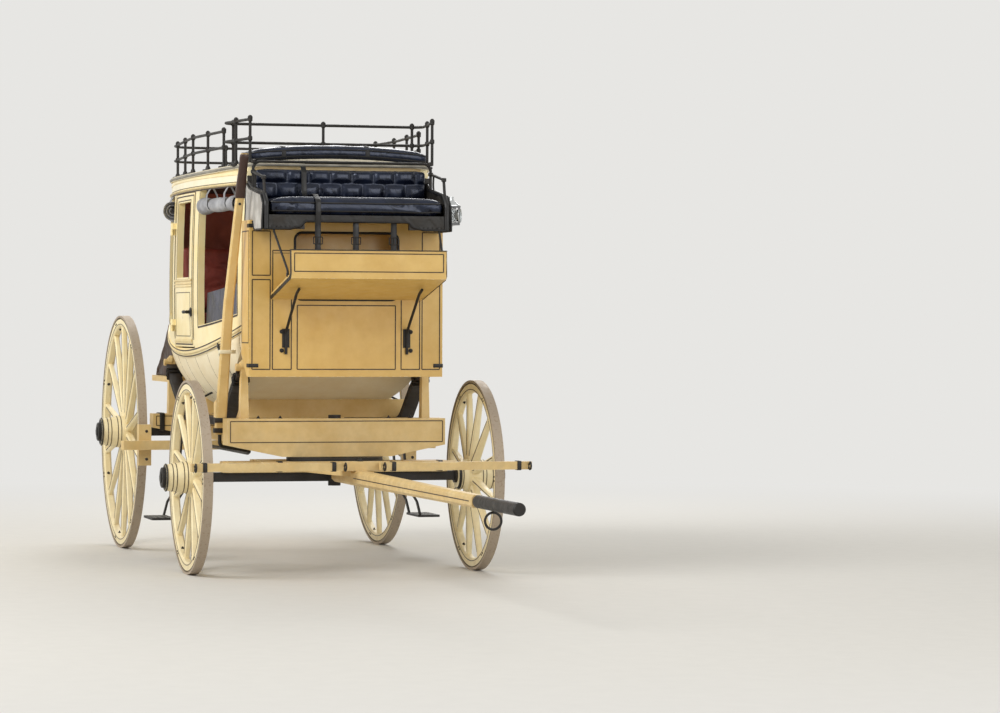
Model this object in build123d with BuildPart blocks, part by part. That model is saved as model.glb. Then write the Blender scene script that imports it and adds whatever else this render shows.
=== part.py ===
from build123d import *
import math
import os

os.makedirs("parts", exist_ok=True)

# A stagecoach slung on leather thoroughbraces. x runs forward, y to the
# coach's left and z up. Every fore and aft station is measured from the
# front axle, and the origin lies on the ground, midway along the coach.
WHEELBASE = 2210.0
POLE_REACH = 3640.0
REAR_REACH = 2945.0
TRACK = 1575.0
AXLE_X = (REAR_REACH - POLE_REACH) / 2
REAR_AXLE_X = AXLE_X - WHEELBASE
SEAT_GAP = 0.3
RUN_GAP = 0.3

# Wheels: wooden hub, spokes and felloes, with a shrunk iron tyre.
FRONT_WHEEL_D = 1037.0
REAR_WHEEL_D = 1385.0
TYRE_W = 50.0
TYRE_T = 12.0
FELLOE_DEPTH = 52.0
FELLOE_W = 46.0
FELLOE_ROUND = 9.0
SPOKE_ROOT_W = 31.0
SPOKE_ROOT_T = 46.0
SPOKE_TIP_W = 25.0
SPOKE_TIP_T = 29.0
SPOKE_EDGE = 7.0
SPOKE_TENON = 12.0
DISH = 20.0
HUB_IN = 105.0
HUB_OUT = 140.0
HUB_CAP = 17.5
HUB_CAP_R = 52.0
ARM_R = 24.0
ARM_END = 128.0
COLLAR_R = 40.0
COLLAR_T = 14.0

# Axles, beds and the turning gear.
AXLE_IRON = 50.0
AXLE_EYE = 90.0
BED_LENGTH = 1240.0
FRONT_BED_DEPTH = 130.0
FRONT_BED_TOP = 602.0
REAR_BED_DEPTH = 120.0
REAR_BED_TOP = 800.0
REAR_BED_LOW = 655.0
PLATE_T = 12.0
PLATE_GAP = 1.0
RING_R = 260.0
RING_W = 50.0
RING_BAR_W = 90.0
KING_R = 19.0
KING_HEAD_R = 34.0
KING_HEAD_T = 18.0
KING_NUT_T = 24.0
BOLSTER_TOP = 832.0
BOLSTER_DEPTH = 140.0
BOLSTER_LENGTH = 1200.0
BOLSTER_RISE = 62.0

# Reaches, the timbers that tie the front bolster to the rear axle bed.
REACH_W = 64.0
REACH_H = 70.0
REACH_LOW = 665.0
REACH_FRONT_Y = 150.0
REACH_REAR_Y = 430.0

# Hounds, pole, evener and singletrees.
HOUND_W = 46.0
HOUND_LOW = 545.0
HOUND_TOP = 590.0
HOUND_FRONT = 560.0
HOUND_BACK = 560.0
HOUND_FRONT_Y = 62.0
HOUND_AXLE_Y = 150.0
HOUND_BACK_Y = 330.0
SWAY_BAR_W = 60.0
POLE_ROOT = 80.0
POLE_TIP_R = 26.0
POLE_Z = 535.0
POLE_BUTT = 110.0
POLE_ROUND_FROM = 2950.0
SLEEVE_T = 4.0
SLEEVE_START = 12.0
SLEEVE_END = 64.0
POLE_EYE_R = 12.0
POLE_RING_X = 3210.0
RING_WIRE_R = 6.0
RING_HANG_R = 44.0
EVENER_X = 600.0
EVENER_HALF = 520.0
EVENER_W = 60.0
EVENER_H = 48.0
SINGLETREE_X = 675.0
SINGLETREE_IN = 90.0
SINGLETREE_OUT = 910.0
SINGLETREE_W = 46.0
SINGLETREE_MID = 64.0
SINGLETREE_H = 42.0
CLIP_R = 9.0

# Body shell. The sides bow in plan about far upright axes, and curve under
# at the belly. Half widths are those at the middle of the door.
MID = -1055.0
FRONT_FACE = 70.0
REAR_FACE = -2175.0
REAR_SWELL = 75.0
HALF_BELT = 643.0
HALF_EAVE = 621.0
HALF_FLANK = 638.0
HALF_TURN = 572.0
HALF_KEEL = 340.0
Z_BELT = 1500.0
Z_FLANK = 1235.0
Z_TURN = 1050.0
Z_KEEL = 850.0
Z_SILL = 1150.0
Z_EAVE = 2160.0
SIDE_BOW = 130.0
SIDE_T = 36.0
END_T = 26.0
FLOOR_T = 24.0
FLOOR_RISE = 400.0
SILL_RISE = 150.0
SILL_BAND = 42.0
BAND_OUT = 7.0
LETTER_LOW = 2085.0
BEAD_H = 14.0
BEAD_OUT = 9.0
ROOF_T = 24.0
CROWN = 45.0
ROOF_LAP = 14.0
ROOF_CORNER = 70.0

# Doors and quarter openings.
DOOR_FRONT = -782.0
DOOR_BACK = -1362.0
DOOR_LOW = 1202.0
DOOR_TOP = 2080.0
DOOR_GAP = 8.0
DOOR_STILE = 100.0
DOOR_SILL = 1600.0
DOOR_HEAD = 56.0
HINGE_OUT = 16.0
HINGE_HEIGHTS = (1330.0, 1880.0)
KNUCKLE_R = 8.0
KNUCKLE_H = 34.0
LEAF_W = 34.0
LEAF_DEEP = 44.0
PILLAR_W = 118.0
CORNER_W = 96.0
QUARTER_LOW = 1318.0
QUARTER_RISE = 92.0

# Front boot, footboard and the driver's seat.
BOOT_FRONT = 278.0
BOOT_HALF = 528.0
BOOT_TOP = 1890.0
BOOT_LOW = 1060.0
BOOT_T = 22.0
BOOT_TOE = 120.0
WELL_HALF = 282.0
WELL_TOP = 1826.0
WELL_ROUND = 40.0
WELL_FLOOR = 1470.0
FOOT_X = 800.0
FOOT_TOP = 1722.0
FOOT_LIP = 120.0
FOOT_HEEL = 1500.0
FOOT_HALF = 412.0
FOOT_T = 26.0
SEAT_FRONT = 520.0
SEAT_HALF = 500.0
SEAT_BOARD_T = 22.0
SEAT_SIDE_T = 26.0
SEAT_SIDE_TOP = 2060.0
SEAT_SKIRT_LOW = 1838.0
CUSHION_H = 88.0
BACK_TOP = 2172.0
BACK_T = 70.0
IRON_R = 8.0
BAR_SIDES = 8
ARM_TOP = 2205.0

# Roof seat and rails.
ROOF_SEAT_FRONT = 88.0
ROOF_SEAT_BACK = -205.0
ROOF_SEAT_HALF = 500.0
ROOF_SEAT_H = 75.0
RAIL_R = 8.0
RAIL_TOP = 2390.0
RAIL_MID = 2302.0
RAIL_FRONT = -335.0
RAIL_BACK = -2120.0
RAIL_HALF_FRONT = 548.0
RAIL_HALF_MID = 590.0
RAIL_HALF_BACK = 512.0
RAIL_CORNER = 170.0
SEAT_RAIL_FRONT = 150.0
SEAT_RAIL_HALF = 500.0
SEAT_RAIL_WIDE = 562.0
SEAT_RAIL_TOP = 2430.0
SEAT_RAIL_MID = 2328.0
SEAT_RAIL_BEND = 60.0
FINIAL_R = 14.0

# Rear platform and its leather cover.
PLATFORM_TOP = 1020.0
PLATFORM_T = 34.0
PLATFORM_HALF = 500.0
PLATFORM_FRONT = -2215.0
CLEAT_W = 40.0
CLEAT_H = 12.0
CLEAT_SHORT = 62.0
COVER_TOP = 1475.0
COVER_T = 8.0
COVER_HALF = 440.0
COVER_BACK = -2900.0
COVER_TOP_DEPTH = 90.0

# Thoroughbraces and what carries them.
BRACE_Y = 500.0
BRACE_W = 74.0
BRACE_T = 42.0
BRACE_LAP = 16.0
STANDARD_TOP = 1128.0
KNOB_R = 27.0
KNOB_SINK = 30.0
KNOB_NECK = 18.0
STANDARD_W = 44.0
STANDARD_D = 66.0
BRACE_END_Z = 1078.0
BEARER_W = 70.0
BEARER_HALF = 545.0
BEARER_OUT = 470.0

# Brake, steps, lamp, curtains and benches.
BEAM_X = -1420.0
BEAM_W = 52.0
BEAM_HALF = 930.0
BLOCK_H = 236.0
BLOCK_W = 72.0
BLOCK_GAP = 6.0
STEP_X = -1072.0
STEP_Y = 770.0
STEP_Z = 236.0
STEP_W = 300.0
STEP_STRAP = 26.0
STEP_STRAP_T = 10.0
STRAP_Y = 200.0
STRAP_W = 36.0
STRAP_T = 5.0
CHECK_X = -300.0
CHECK_LEAN = 70.0
CHECK_TOP = 1230.0
CHECK_FOOT = 985.0
ROLL_R = 46.0
ROLL_DROP = 92.0
ROLL_IN = 30.0
ROLL_SHORT = 30.0
ROLL_STRAP_W = 30.0
ROLL_STRAP_T = 8.0
LAMP_X = 330.0
LAMP_OUT = 52.0
LAMP_ROWS = [
    # Rows: low and high z, width at the foot and at the top.
    (1872.0, 1972.0, 84.0, 90.0),
    (1972.0, 2002.0, 100.0, 50.0),
    (2002.0, 2024.0, 44.0, 44.0),
    (1840.0, 1872.0, 26.0, 40.0),
]
BENCH_TOP = 1300.0
BENCH_DEPTH = 400.0
BENCH_T = 22.0
BENCH_CUSHION = 85.0
BENCH_BACK_T = 60.0


def at(x):
    """Station x forward of the front axle, as an x in the coach's frame."""
    return AXLE_X + x


def sag(radius, half):
    """Depth of a circular arc of this radius over this half chord."""
    return radius - math.sqrt(radius**2 - half**2)


def arc_radius(half, rise):
    """Radius of the arc that rises this much over this half chord."""
    return (half**2 + rise**2) / (2 * rise)


def finish(builder, name):
    """Label a finished piece and write its file."""
    builder.part.label = name
    export_step(builder.part, f"parts/{name}.step")
    return builder.part


def mirrored(part, name):
    """The right-hand twin of a left-hand piece."""
    with BuildPart() as twin:
        add(mirror(part, about=Plane.XZ))
    return finish(twin, name)


# Plan and crown curves that the shell, roof and fittings share.
BODY_HALF = max(FRONT_FACE - MID, MID - REAR_FACE)
PLAN_R = arc_radius(BODY_HALF, SIDE_BOW)
FAR_AXIS = PLAN_R - HALF_BELT
# The turned shell runs on past both ends, also where the floor and the end
# panels reach the side that is nearer its axis.
MARGIN = 60.0
SWEEP = math.degrees(math.atan((BODY_HALF + REAR_SWELL + MARGIN) / (FAR_AXIS - HALF_BELT)))
CROWN_R = arc_radius(HALF_EAVE, CROWN)
FLOOR_R = arc_radius(BODY_HALF, FLOOR_RISE)
SILL_R = arc_radius(BODY_HALF, SILL_RISE)
QUARTER_R = arc_radius(BODY_HALF, QUARTER_RISE)


def plan_in(x):
    """How far the side has drawn in from its middle at a station."""
    return sag(PLAN_R, abs(x - MID))


def side_half(x):
    """Half width of the shell's outside near the belt at a station."""
    return HALF_BELT - plan_in(x)


def floor_z(x):
    """Underside of the curved floor at a station."""
    return Z_KEEL + sag(FLOOR_R, abs(x - MID))


def roof_z(y):
    """Underside of the crowned roof at a distance from the middle."""
    return Z_EAVE + CROWN - sag(CROWN_R, abs(y))


def roof_top(y):
    """Top of the crowned roof at a distance from the middle."""
    return roof_z(y) + ROOF_T


# Left-hand start plane for the turned shell: its x is the radius from the
# far axis and its y is height.
start = math.radians(-SWEEP)
far_centre = (at(MID), -FAR_AXIS, 0)
far_line = Axis(far_centre, (0, 0, 1))
shell_plane = Plane(
    origin=far_centre,
    x_dir=(math.sin(start), math.cos(start), 0),
    z_dir=(math.cos(start), -math.sin(start), 0),
)


def turned(out, inner):
    """Shell between the side's outline moved out and in, about its far axis."""
    rows = [(HALF_EAVE, Z_EAVE + 60.0), (HALF_BELT, Z_BELT), (HALF_FLANK, Z_FLANK)]
    turn = [(HALF_FLANK, Z_FLANK), (HALF_TURN, Z_TURN), (HALF_KEEL, Z_KEEL)]
    with BuildPart(mode=Mode.PRIVATE) as shell:
        with BuildSketch(shell_plane):
            with BuildLine():
                for shift in (out, inner):
                    ThreePointArc(*[(FAR_AXIS + half + shift, z) for half, z in rows])
                    ThreePointArc(*[(FAR_AXIS + half + shift, z) for half, z in turn])
                for half, z in (rows[0], turn[-1]):
                    Line((FAR_AXIS + half + out, z), (FAR_AXIS + half + inner, z))
            make_face()
        revolve(axis=far_line, revolution_arc=-2 * SWEEP)
    return shell.part


def outline(points_low, points_high, width=1500.0):
    """A block across the coach between two curves seen from the side."""
    with BuildPart(mode=Mode.PRIVATE) as block:
        with BuildSketch(Plane.XZ):
            with BuildLine():
                ThreePointArc(*points_low)
                ThreePointArc(*points_high)
                Line(points_low[0], points_high[0])
                Line(points_low[-1], points_high[-1])
            make_face()
        extrude(amount=width, both=True)
    return block.part


def curve_points(radius, base, x_from, x_to):
    """Three points of a side-view arc that is lowest amidships."""
    middle = (x_from + x_to) / 2
    return [(at(x), base + sag(radius, abs(x - MID))) for x in (x_from, middle, x_to)]


def rear_points(shift):
    """Swelling line of the body's back, moved forward by a thickness."""
    top = Z_EAVE + 60.0
    low = Z_KEEL + FLOOR_RISE - 60.0
    return [
        (at(REAR_FACE + shift), top),
        (at(REAR_FACE - REAR_SWELL + shift), Z_BELT - 60.0),
        (at(REAR_FACE + shift), low),
    ]


def body_block(low_arc, front_in=0.0, back_in=0.0):
    """Side view of the body above a low arc, between its two ends."""
    top = Z_EAVE + 60.0
    with BuildPart(mode=Mode.PRIVATE) as block:
        with BuildSketch(Plane.XZ):
            with BuildLine():
                ThreePointArc(*rear_points(back_in))
                Line(rear_points(back_in)[0], (at(FRONT_FACE - front_in), top))
                Line((at(FRONT_FACE - front_in), top), (at(FRONT_FACE - front_in), 700.0))
                Line((at(FRONT_FACE - front_in), 700.0), (rear_points(back_in)[-1][0], 700.0))
                Line((rear_points(back_in)[-1][0], 700.0), rear_points(back_in)[-1])
            make_face()
        extrude(amount=1500.0, both=True)
        add(outline([(x, z - 1500.0) for x, z in low_arc], low_arc), mode=Mode.SUBTRACT)
    return block.part


def above_roof(lift):
    """Everything above the roof's underside, lifted by a height."""
    wide = 900.0
    with BuildPart(mode=Mode.PRIVATE) as block:
        with BuildSketch(Plane.YZ.offset(at(REAR_FACE - 600.0))):
            with BuildLine():
                ThreePointArc(*[(y, roof_z(y) + lift) for y in (-wide, 0.0, wide)])
                Polyline((-wide, roof_z(wide) + lift), (-wide, 3000.0), (wide, 3000.0), (wide, roof_z(wide) + lift))
            make_face()
        extrude(amount=4000.0)
    return block.part


# Shared solids of the shell, none of which is a piece by itself.
CORE_REACH = 800.0
floor_low = curve_points(FLOOR_R, Z_KEEL, REAR_FACE - MARGIN, FRONT_FACE + MARGIN)
floor_high = [(x, z + FLOOR_T) for x, z in floor_low]
sill_low = curve_points(SILL_R, Z_SILL, REAR_FACE - MARGIN, FRONT_FACE + MARGIN)
sill_high = [(x, z + SILL_BAND) for x, z in sill_low]
sky = above_roof(0.0)
skin = turned(0.0, -SIDE_T)
proud = turned(BAND_OUT, -SIDE_T)

core_left = turned(-SIDE_T, -HALF_BELT - CORE_REACH)
core = core_left & mirror(core_left, about=Plane.XZ)


# Wheels.
def wheel(name, axle_x, diameter, spokes, hub_mid, hub_face):
    """Wood and tyre of one left-hand wheel, with their right-hand twins."""
    radius = diameter / 2
    centre = Vector(axle_x, TRACK / 2, radius)
    line = Axis(centre, (0, 1, 0))
    section = Plane(origin=centre, x_dir=(0, 1, 0), z_dir=(1, 0, 0))
    felloe_out = radius - TYRE_T
    felloe_in = felloe_out - FELLOE_DEPTH
    bore = ARM_R + RUN_GAP
    with BuildPart() as wood:
        # The hub is turned: barrel, two band steps, nose and closed cap.
        with BuildSketch(section):
            with BuildLine():
                Polyline(
                    (-HUB_IN, bore), (-HUB_IN, hub_face - 6.0), (-HUB_IN + 34.0, hub_face),
                    (-DISH - 34.0, hub_mid), (-DISH + 34.0, hub_mid), (HUB_OUT - 60.0, hub_face + 3.0),
                    (HUB_OUT, hub_face - 5.0), (HUB_OUT, HUB_CAP_R), (HUB_OUT + HUB_CAP, HUB_CAP_R - 7.0),
                    (HUB_OUT + HUB_CAP, 0.0), (ARM_END + SEAT_GAP, 0.0), (ARM_END + SEAT_GAP, bore), close=True)
            make_face()
        revolve(axis=line)
        with BuildSketch(section):
            with Locations((0, (felloe_in + felloe_out) / 2)):
                Rectangle(FELLOE_W, FELLOE_DEPTH)
            inner = [v for v in vertices() if v.Z - centre.Z < felloe_in + 1.0]
            chamfer(inner, FELLOE_ROUND)
        revolve(axis=line)
        for index in range(spokes):
            angle = math.radians((index + 0.5) * 360.0 / spokes)
            along = Vector(math.cos(angle), 0, math.sin(angle))
            across = Vector(-math.sin(angle), 0, math.cos(angle))
            # Rows: distance from the centre, offset outboard, width, thickness.
            ends = [
                (hub_mid - SPOKE_TENON, -DISH, SPOKE_ROOT_W, SPOKE_ROOT_T),
                (felloe_in + SPOKE_TENON, 0.0, SPOKE_TIP_W, SPOKE_TIP_T),
            ]
            for reach, offset, width, thick in ends:
                spot = centre + along * reach + Vector(0, offset, 0)
                with BuildSketch(Plane(origin=spot, x_dir=across, z_dir=along)):
                    Rectangle(width, thick)
                    chamfer(vertices(), SPOKE_EDGE)
            loft(ruled=True)
    with BuildPart() as tyre:
        with BuildSketch(section):
            with Locations((0, radius - TYRE_T / 2)):
                Rectangle(TYRE_W, TYRE_T)
        revolve(axis=line)
    mirrored(finish(wood, f"{name}_left_wood"), f"{name}_right_wood")
    mirrored(finish(tyre, f"{name}_left_tyre"), f"{name}_right_tyre")


# Rows: name, axle station, diameter, spokes, hub's middle and face radii.
for row in (
    ("wheel_front", AXLE_X, FRONT_WHEEL_D, 12, 88.0, 74.0),
    ("wheel_rear", REAR_AXLE_X, REAR_WHEEL_D, 14, 97.0, 83.0),
):
    wheel(*row)


def axle(name, x, wheel_d, eye):
    """Square iron axle with collars and turned arms for the hubs."""
    z = wheel_d / 2
    shoulder = TRACK / 2 - HUB_IN - SEAT_GAP
    with BuildPart() as iron:
        with BuildSketch(Plane.XZ.offset(-shoulder)):
            with Locations((x, z)):
                Rectangle(AXLE_IRON, AXLE_IRON)
        extrude(amount=2 * shoulder)
        for side in (-1, 1):
            with BuildSketch(Plane.XZ.offset(-side * shoulder)):
                with Locations((x, z)):
                    Circle(ARM_R)
            extrude(amount=-side * (TRACK / 2 + ARM_END - shoulder))
            with BuildSketch(Plane.XZ.offset(-side * shoulder)):
                with Locations((x, z)):
                    Circle(COLLAR_R)
            extrude(amount=side * COLLAR_T)
        if eye:
            with BuildSketch(Plane.XY.offset(z - AXLE_IRON / 2)):
                with Locations((x, 0)):
                    Circle(AXLE_EYE / 2)
            extrude(amount=AXLE_IRON)
            with BuildSketch(Plane.XY.offset(z - AXLE_IRON)):
                with Locations((x, 0)):
                    Circle(KING_R + RUN_GAP)
            extrude(amount=2 * AXLE_IRON, mode=Mode.SUBTRACT)
    return finish(iron, name)


axle("front_axle", AXLE_X, FRONT_WHEEL_D, True)
axle("rear_axle", REAR_AXLE_X, REAR_WHEEL_D, False)


# Front axle bed, with notches for the hounds and a bore for the king bolt.
FRONT_BED_LOW = FRONT_WHEEL_D / 2 + AXLE_IRON / 2
HOUND_LINES = [
    # Rows: station and half spacing of each hound from its front to its back.
    (HOUND_FRONT, HOUND_FRONT_Y),
    (POLE_BUTT, HOUND_AXLE_Y),
    (-HOUND_BACK, HOUND_BACK_Y),
]


def hound_solid(side, grow):
    """One bent hound timber seen from above, grown all round by a gap."""
    rows = [(at(x), side * y) for x, y in HOUND_LINES]
    half = HOUND_W / 2 + grow
    with BuildPart(mode=Mode.PRIVATE) as timber:
        with BuildSketch(Plane.XY.offset(HOUND_LOW - grow)):
            with BuildLine():
                Polyline(*[(x, y - half) for x, y in rows], *[(x, y + half) for x, y in reversed(rows)],
                         close=True)
            make_face()
        extrude(amount=HOUND_TOP - HOUND_LOW + 2 * grow)
    return timber.part


with BuildPart() as front_bed:
    with BuildSketch(Plane.XY.offset(FRONT_BED_LOW)):
        with Locations((AXLE_X, 0)):
            Rectangle(FRONT_BED_DEPTH, BED_LENGTH)
            chamfer(vertices(), 18.0)
    extrude(amount=FRONT_BED_TOP - FRONT_BED_LOW)
    for side in (-1, 1):
        add(hound_solid(side, SEAT_GAP), mode=Mode.SUBTRACT)
    with BuildSketch(Plane.XY.offset(FRONT_BED_LOW)):
        with Locations((AXLE_X, 0)):
            Circle(KING_R + RUN_GAP)
    extrude(amount=FRONT_BED_TOP, mode=Mode.SUBTRACT)
finish(front_bed, "front_axle_bed")

# Hounds: two bent timbers and the sway bar that joins them at the back.
with BuildPart() as hounds:
    for side in (-1, 1):
        add(hound_solid(side, 0.0))
    with BuildSketch(Plane.XY.offset(HOUND_LOW)):
        with Locations((at(-HOUND_BACK + SWAY_BAR_W / 2), 0)):
            Rectangle(SWAY_BAR_W, 2 * HOUND_BACK_Y + HOUND_W)
    extrude(amount=HOUND_TOP - HOUND_LOW)
finish(hounds, "hounds")


def ring_plate(name, low, bolt_gap):
    """Fifth-wheel ring with a cross bar, bored for the king bolt."""
    with BuildPart() as plate:
        with BuildSketch(Plane.XY.offset(low)):
            with Locations((AXLE_X, 0)):
                Circle(RING_R)
                Circle(RING_R - RING_W, mode=Mode.SUBTRACT)
                Rectangle(RING_BAR_W, 2 * RING_R - RING_W)
                Circle(KING_R + bolt_gap, mode=Mode.SUBTRACT)
        extrude(amount=PLATE_T)
    return finish(plate, name)


UPPER_PLATE_LOW = FRONT_BED_TOP + PLATE_T + PLATE_GAP
BOLSTER_LOW = UPPER_PLATE_LOW + PLATE_T
ring_plate("fifth_wheel_lower", FRONT_BED_TOP, RUN_GAP)
ring_plate("fifth_wheel_upper", UPPER_PLATE_LOW, SEAT_GAP)

# King bolt, headed on the bolster and nutted under the axle.
with BuildPart() as king_bolt:
    nut_top = FRONT_WHEEL_D / 2 - AXLE_IRON / 2 - PLATE_GAP
    # Rows: radius, low z, high z.
    for radius, low, high in (
        (KING_R, nut_top, BOLSTER_TOP),
        (KING_HEAD_R, BOLSTER_TOP, BOLSTER_TOP + KING_HEAD_T),
        (KING_HEAD_R, nut_top - KING_NUT_T, nut_top),
    ):
        with BuildSketch(Plane.XY.offset(low)):
            with Locations((AXLE_X, 0)):
                Circle(radius)
        extrude(amount=high - low)
finish(king_bolt, "king_bolt")


def bolster(name, x, low, top, depth, length, bore, iron_top):
    """Timber bolster, arched under its ends, with a bore or an axle groove."""
    rise = BOLSTER_RISE
    half = length / 2
    with BuildPart() as timber:
        with BuildSketch(Plane.YZ.offset(x - depth / 2)):
            with BuildLine():
                Polyline((-half, low + rise), (-half, top), (half, top), (half, low + rise),
                         (RING_R + 40.0, low), (-RING_R - 40.0, low), close=True)
            make_face()
        extrude(amount=depth)
        if bore:
            with BuildSketch(Plane.XY.offset(low)):
                with Locations((x, 0)):
                    Circle(bore)
            extrude(amount=top - low, mode=Mode.SUBTRACT)
        if iron_top:
            with BuildSketch(Plane.YZ.offset(x - AXLE_IRON / 2)):
                with Locations((0, (low + iron_top) / 2)):
                    Rectangle(length, iron_top - low)
            extrude(amount=AXLE_IRON, mode=Mode.SUBTRACT)
    return finish(timber, name)


bolster("front_bolster", AXLE_X, BOLSTER_LOW, BOLSTER_TOP, BOLSTER_DEPTH, BOLSTER_LENGTH,
        KING_R + SEAT_GAP, 0.0)
bolster("rear_axle_bed", REAR_AXLE_X, REAR_BED_LOW, REAR_BED_TOP, REAR_BED_DEPTH, BED_LENGTH,
        0.0, (REAR_WHEEL_D + AXLE_IRON) / 2)

# Three reaches: one straight and two that spread towards the rear.
with BuildPart() as reaches:
    front_x = AXLE_X - BOLSTER_DEPTH / 2
    back_x = REAR_AXLE_X + REAR_BED_DEPTH / 2
    for side in (-1, 0, 1):
        with BuildSketch(Plane.XY.offset(REACH_LOW)):
            with BuildLine():
                near = side * REACH_FRONT_Y
                far = side * REACH_REAR_Y
                Polyline((front_x, near - REACH_W / 2), (front_x, near + REACH_W / 2),
                         (back_x, far + REACH_W / 2), (back_x, far - REACH_W / 2), close=True)
            make_face()
        extrude(amount=REACH_H)
finish(reaches, "reaches")

# Pole: square at its root, round towards the tip.
with BuildPart() as pole:
    # Rows: station, size across the flats, 1 where the section is round.
    for first, second in (
        ((POLE_BUTT, POLE_ROOT), (HOUND_FRONT, POLE_ROOT)),
        ((HOUND_FRONT, POLE_ROOT), (POLE_ROUND_FROM, 2 * POLE_TIP_R + 8.0)),
    ):
        for x, size in (first, second):
            with BuildSketch(Plane.YZ.offset(at(x))):
                with Locations((0, POLE_Z)):
                    Rectangle(size, size)
                    chamfer(vertices(), size * 0.2)
        loft(ruled=True)
    with BuildSketch(Plane.YZ.offset(at(POLE_ROUND_FROM))):
        with Locations((0, POLE_Z)):
            Circle(POLE_TIP_R)
    extrude(amount=POLE_REACH - POLE_ROUND_FROM - SLEEVE_END)
    for side in (-1, 1):
        add(hound_solid(side, SEAT_GAP), mode=Mode.SUBTRACT)
finish(pole, "pole")

# Iron sleeve on the pole's end, bored for a pin, and its hanging ring.
with BuildPart() as pole_irons:
    with BuildSketch(Plane.YZ.offset(at(POLE_ROUND_FROM + SLEEVE_START))):
        with Locations((0, POLE_Z)):
            Circle(POLE_TIP_R + SLEEVE_T)
    extrude(amount=POLE_REACH - POLE_ROUND_FROM - SLEEVE_START)
    chamfer(pole_irons.faces().sort_by(Axis.X)[-1].edges(), SLEEVE_T * 1.5)
    with BuildSketch(Plane.YZ.offset(at(POLE_ROUND_FROM))):
        with Locations((0, POLE_Z)):
            Circle(POLE_TIP_R)
    extrude(amount=POLE_REACH - POLE_ROUND_FROM - SLEEVE_END, mode=Mode.SUBTRACT)
    with BuildSketch(Plane.XY.offset(POLE_Z - 2 * POLE_TIP_R)):
        with Locations((at(POLE_REACH - SLEEVE_END / 2), 0)):
            Circle(POLE_EYE_R)
    extrude(amount=4 * POLE_TIP_R, mode=Mode.SUBTRACT)
    # The ring hangs just under the sleeve.
    ring_z = POLE_Z - POLE_TIP_R - SLEEVE_T - RING_HANG_R - SEAT_GAP
    with BuildSketch(Plane.XY.offset(ring_z)):
        with Locations((at(POLE_RING_X), RING_HANG_R - RING_WIRE_R)):
            RegularPolygon(RING_WIRE_R, BAR_SIDES)
    revolve(axis=Axis((at(POLE_RING_X), 0, ring_z), (1, 0, 0)))
finish(pole_irons, "pole_irons")

# Evener across the pole, and a singletree before each of its ends.
EVENER_LOW = POLE_Z + POLE_ROOT / 2
with BuildPart() as evener:
    with BuildSketch(Plane.XY.offset(EVENER_LOW)):
        with BuildLine():
            tip = EVENER_W * 0.36
            Polyline((at(EVENER_X) - EVENER_W / 2, 0), (at(EVENER_X) - tip, EVENER_HALF),
                     (at(EVENER_X) + tip, EVENER_HALF), (at(EVENER_X) + EVENER_W / 2, 0),
                     (at(EVENER_X) + tip, -EVENER_HALF), (at(EVENER_X) - tip, -EVENER_HALF), close=True)
        make_face()
    extrude(amount=EVENER_H)
    middle_y = (SINGLETREE_IN + SINGLETREE_OUT) / 2
    for side in (-1, 1):
        with BuildSketch(Plane.YZ.offset(at(EVENER_X) + tip)):
            with Locations((side * middle_y, EVENER_LOW + EVENER_H / 2)):
                Circle(CLIP_R)
        extrude(amount=SINGLETREE_X - SINGLETREE_MID / 2 - EVENER_X - tip)
finish(evener, "evener")

with BuildPart() as singletrees:
    for side in (-1, 1):
        with BuildSketch(Plane.XY.offset(EVENER_LOW + (EVENER_H - SINGLETREE_H) / 2)):
            with BuildLine():
                x = at(SINGLETREE_X)
                Polyline((x - SINGLETREE_W / 2, side * SINGLETREE_IN), (x - SINGLETREE_MID / 2, side * middle_y),
                         (x - SINGLETREE_W / 2, side * SINGLETREE_OUT), (x + SINGLETREE_W / 2, side * SINGLETREE_OUT),
                         (x + SINGLETREE_MID / 2, side * middle_y), (x + SINGLETREE_W / 2, side * SINGLETREE_IN),
                         close=True)
            make_face()
        extrude(amount=SINGLETREE_H)
finish(singletrees, "singletrees")


# Body panels. Each side is one frame with its pillars, quarter panels,
# sill band and letterboard, and is open where the door and curtains are.
def side_opening(x_from, x_to, low, high, rise):
    """Cutter for an opening whose sill follows the body's curve."""
    low_arc = curve_points(QUARTER_R, low, x_from, x_to) if rise else [
        (at(x_from), low), (at((x_from + x_to) / 2), low - 0.01), (at(x_to), low)]
    with BuildPart(mode=Mode.PRIVATE) as cutter:
        with BuildSketch(Plane.XZ):
            with BuildLine():
                ThreePointArc(*low_arc)
                Polyline(low_arc[0], (at(x_from), high), (at(x_to), high), low_arc[-1])
            make_face()
        extrude(amount=-1500.0)
    return cutter.part


HINGE_X = at(DOOR_BACK + DOOR_GAP / 2)
HINGE_Y = side_half(DOOR_BACK) + HINGE_OUT


def knuckles(way, lift):
    """Hinge barrels on the left door's pin line, with leaves one way along x."""
    with BuildPart(mode=Mode.PRIVATE) as irons:
        for z in HINGE_HEIGHTS:
            with BuildSketch(Plane.XY.offset(z + lift)):
                with Locations((HINGE_X, HINGE_Y)):
                    Circle(KNUCKLE_R)
                with Locations((HINGE_X + way * LEAF_W / 2, HINGE_Y + 4.0 - LEAF_DEEP / 2)):
                    Rectangle(LEAF_W, LEAF_DEEP)
            extrude(amount=KNUCKLE_H)
    return irons.part


front_quarter = (DOOR_FRONT + PILLAR_W, FRONT_FACE - CORNER_W)
rear_quarter = (REAR_FACE + CORNER_W, DOOR_BACK - PILLAR_W)
body_above_sill = body_block(sill_low)
body_above_floor = body_block(floor_low)
inside_above_floor = body_block(floor_high, END_T + SEAT_GAP, END_T + SEAT_GAP)

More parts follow.
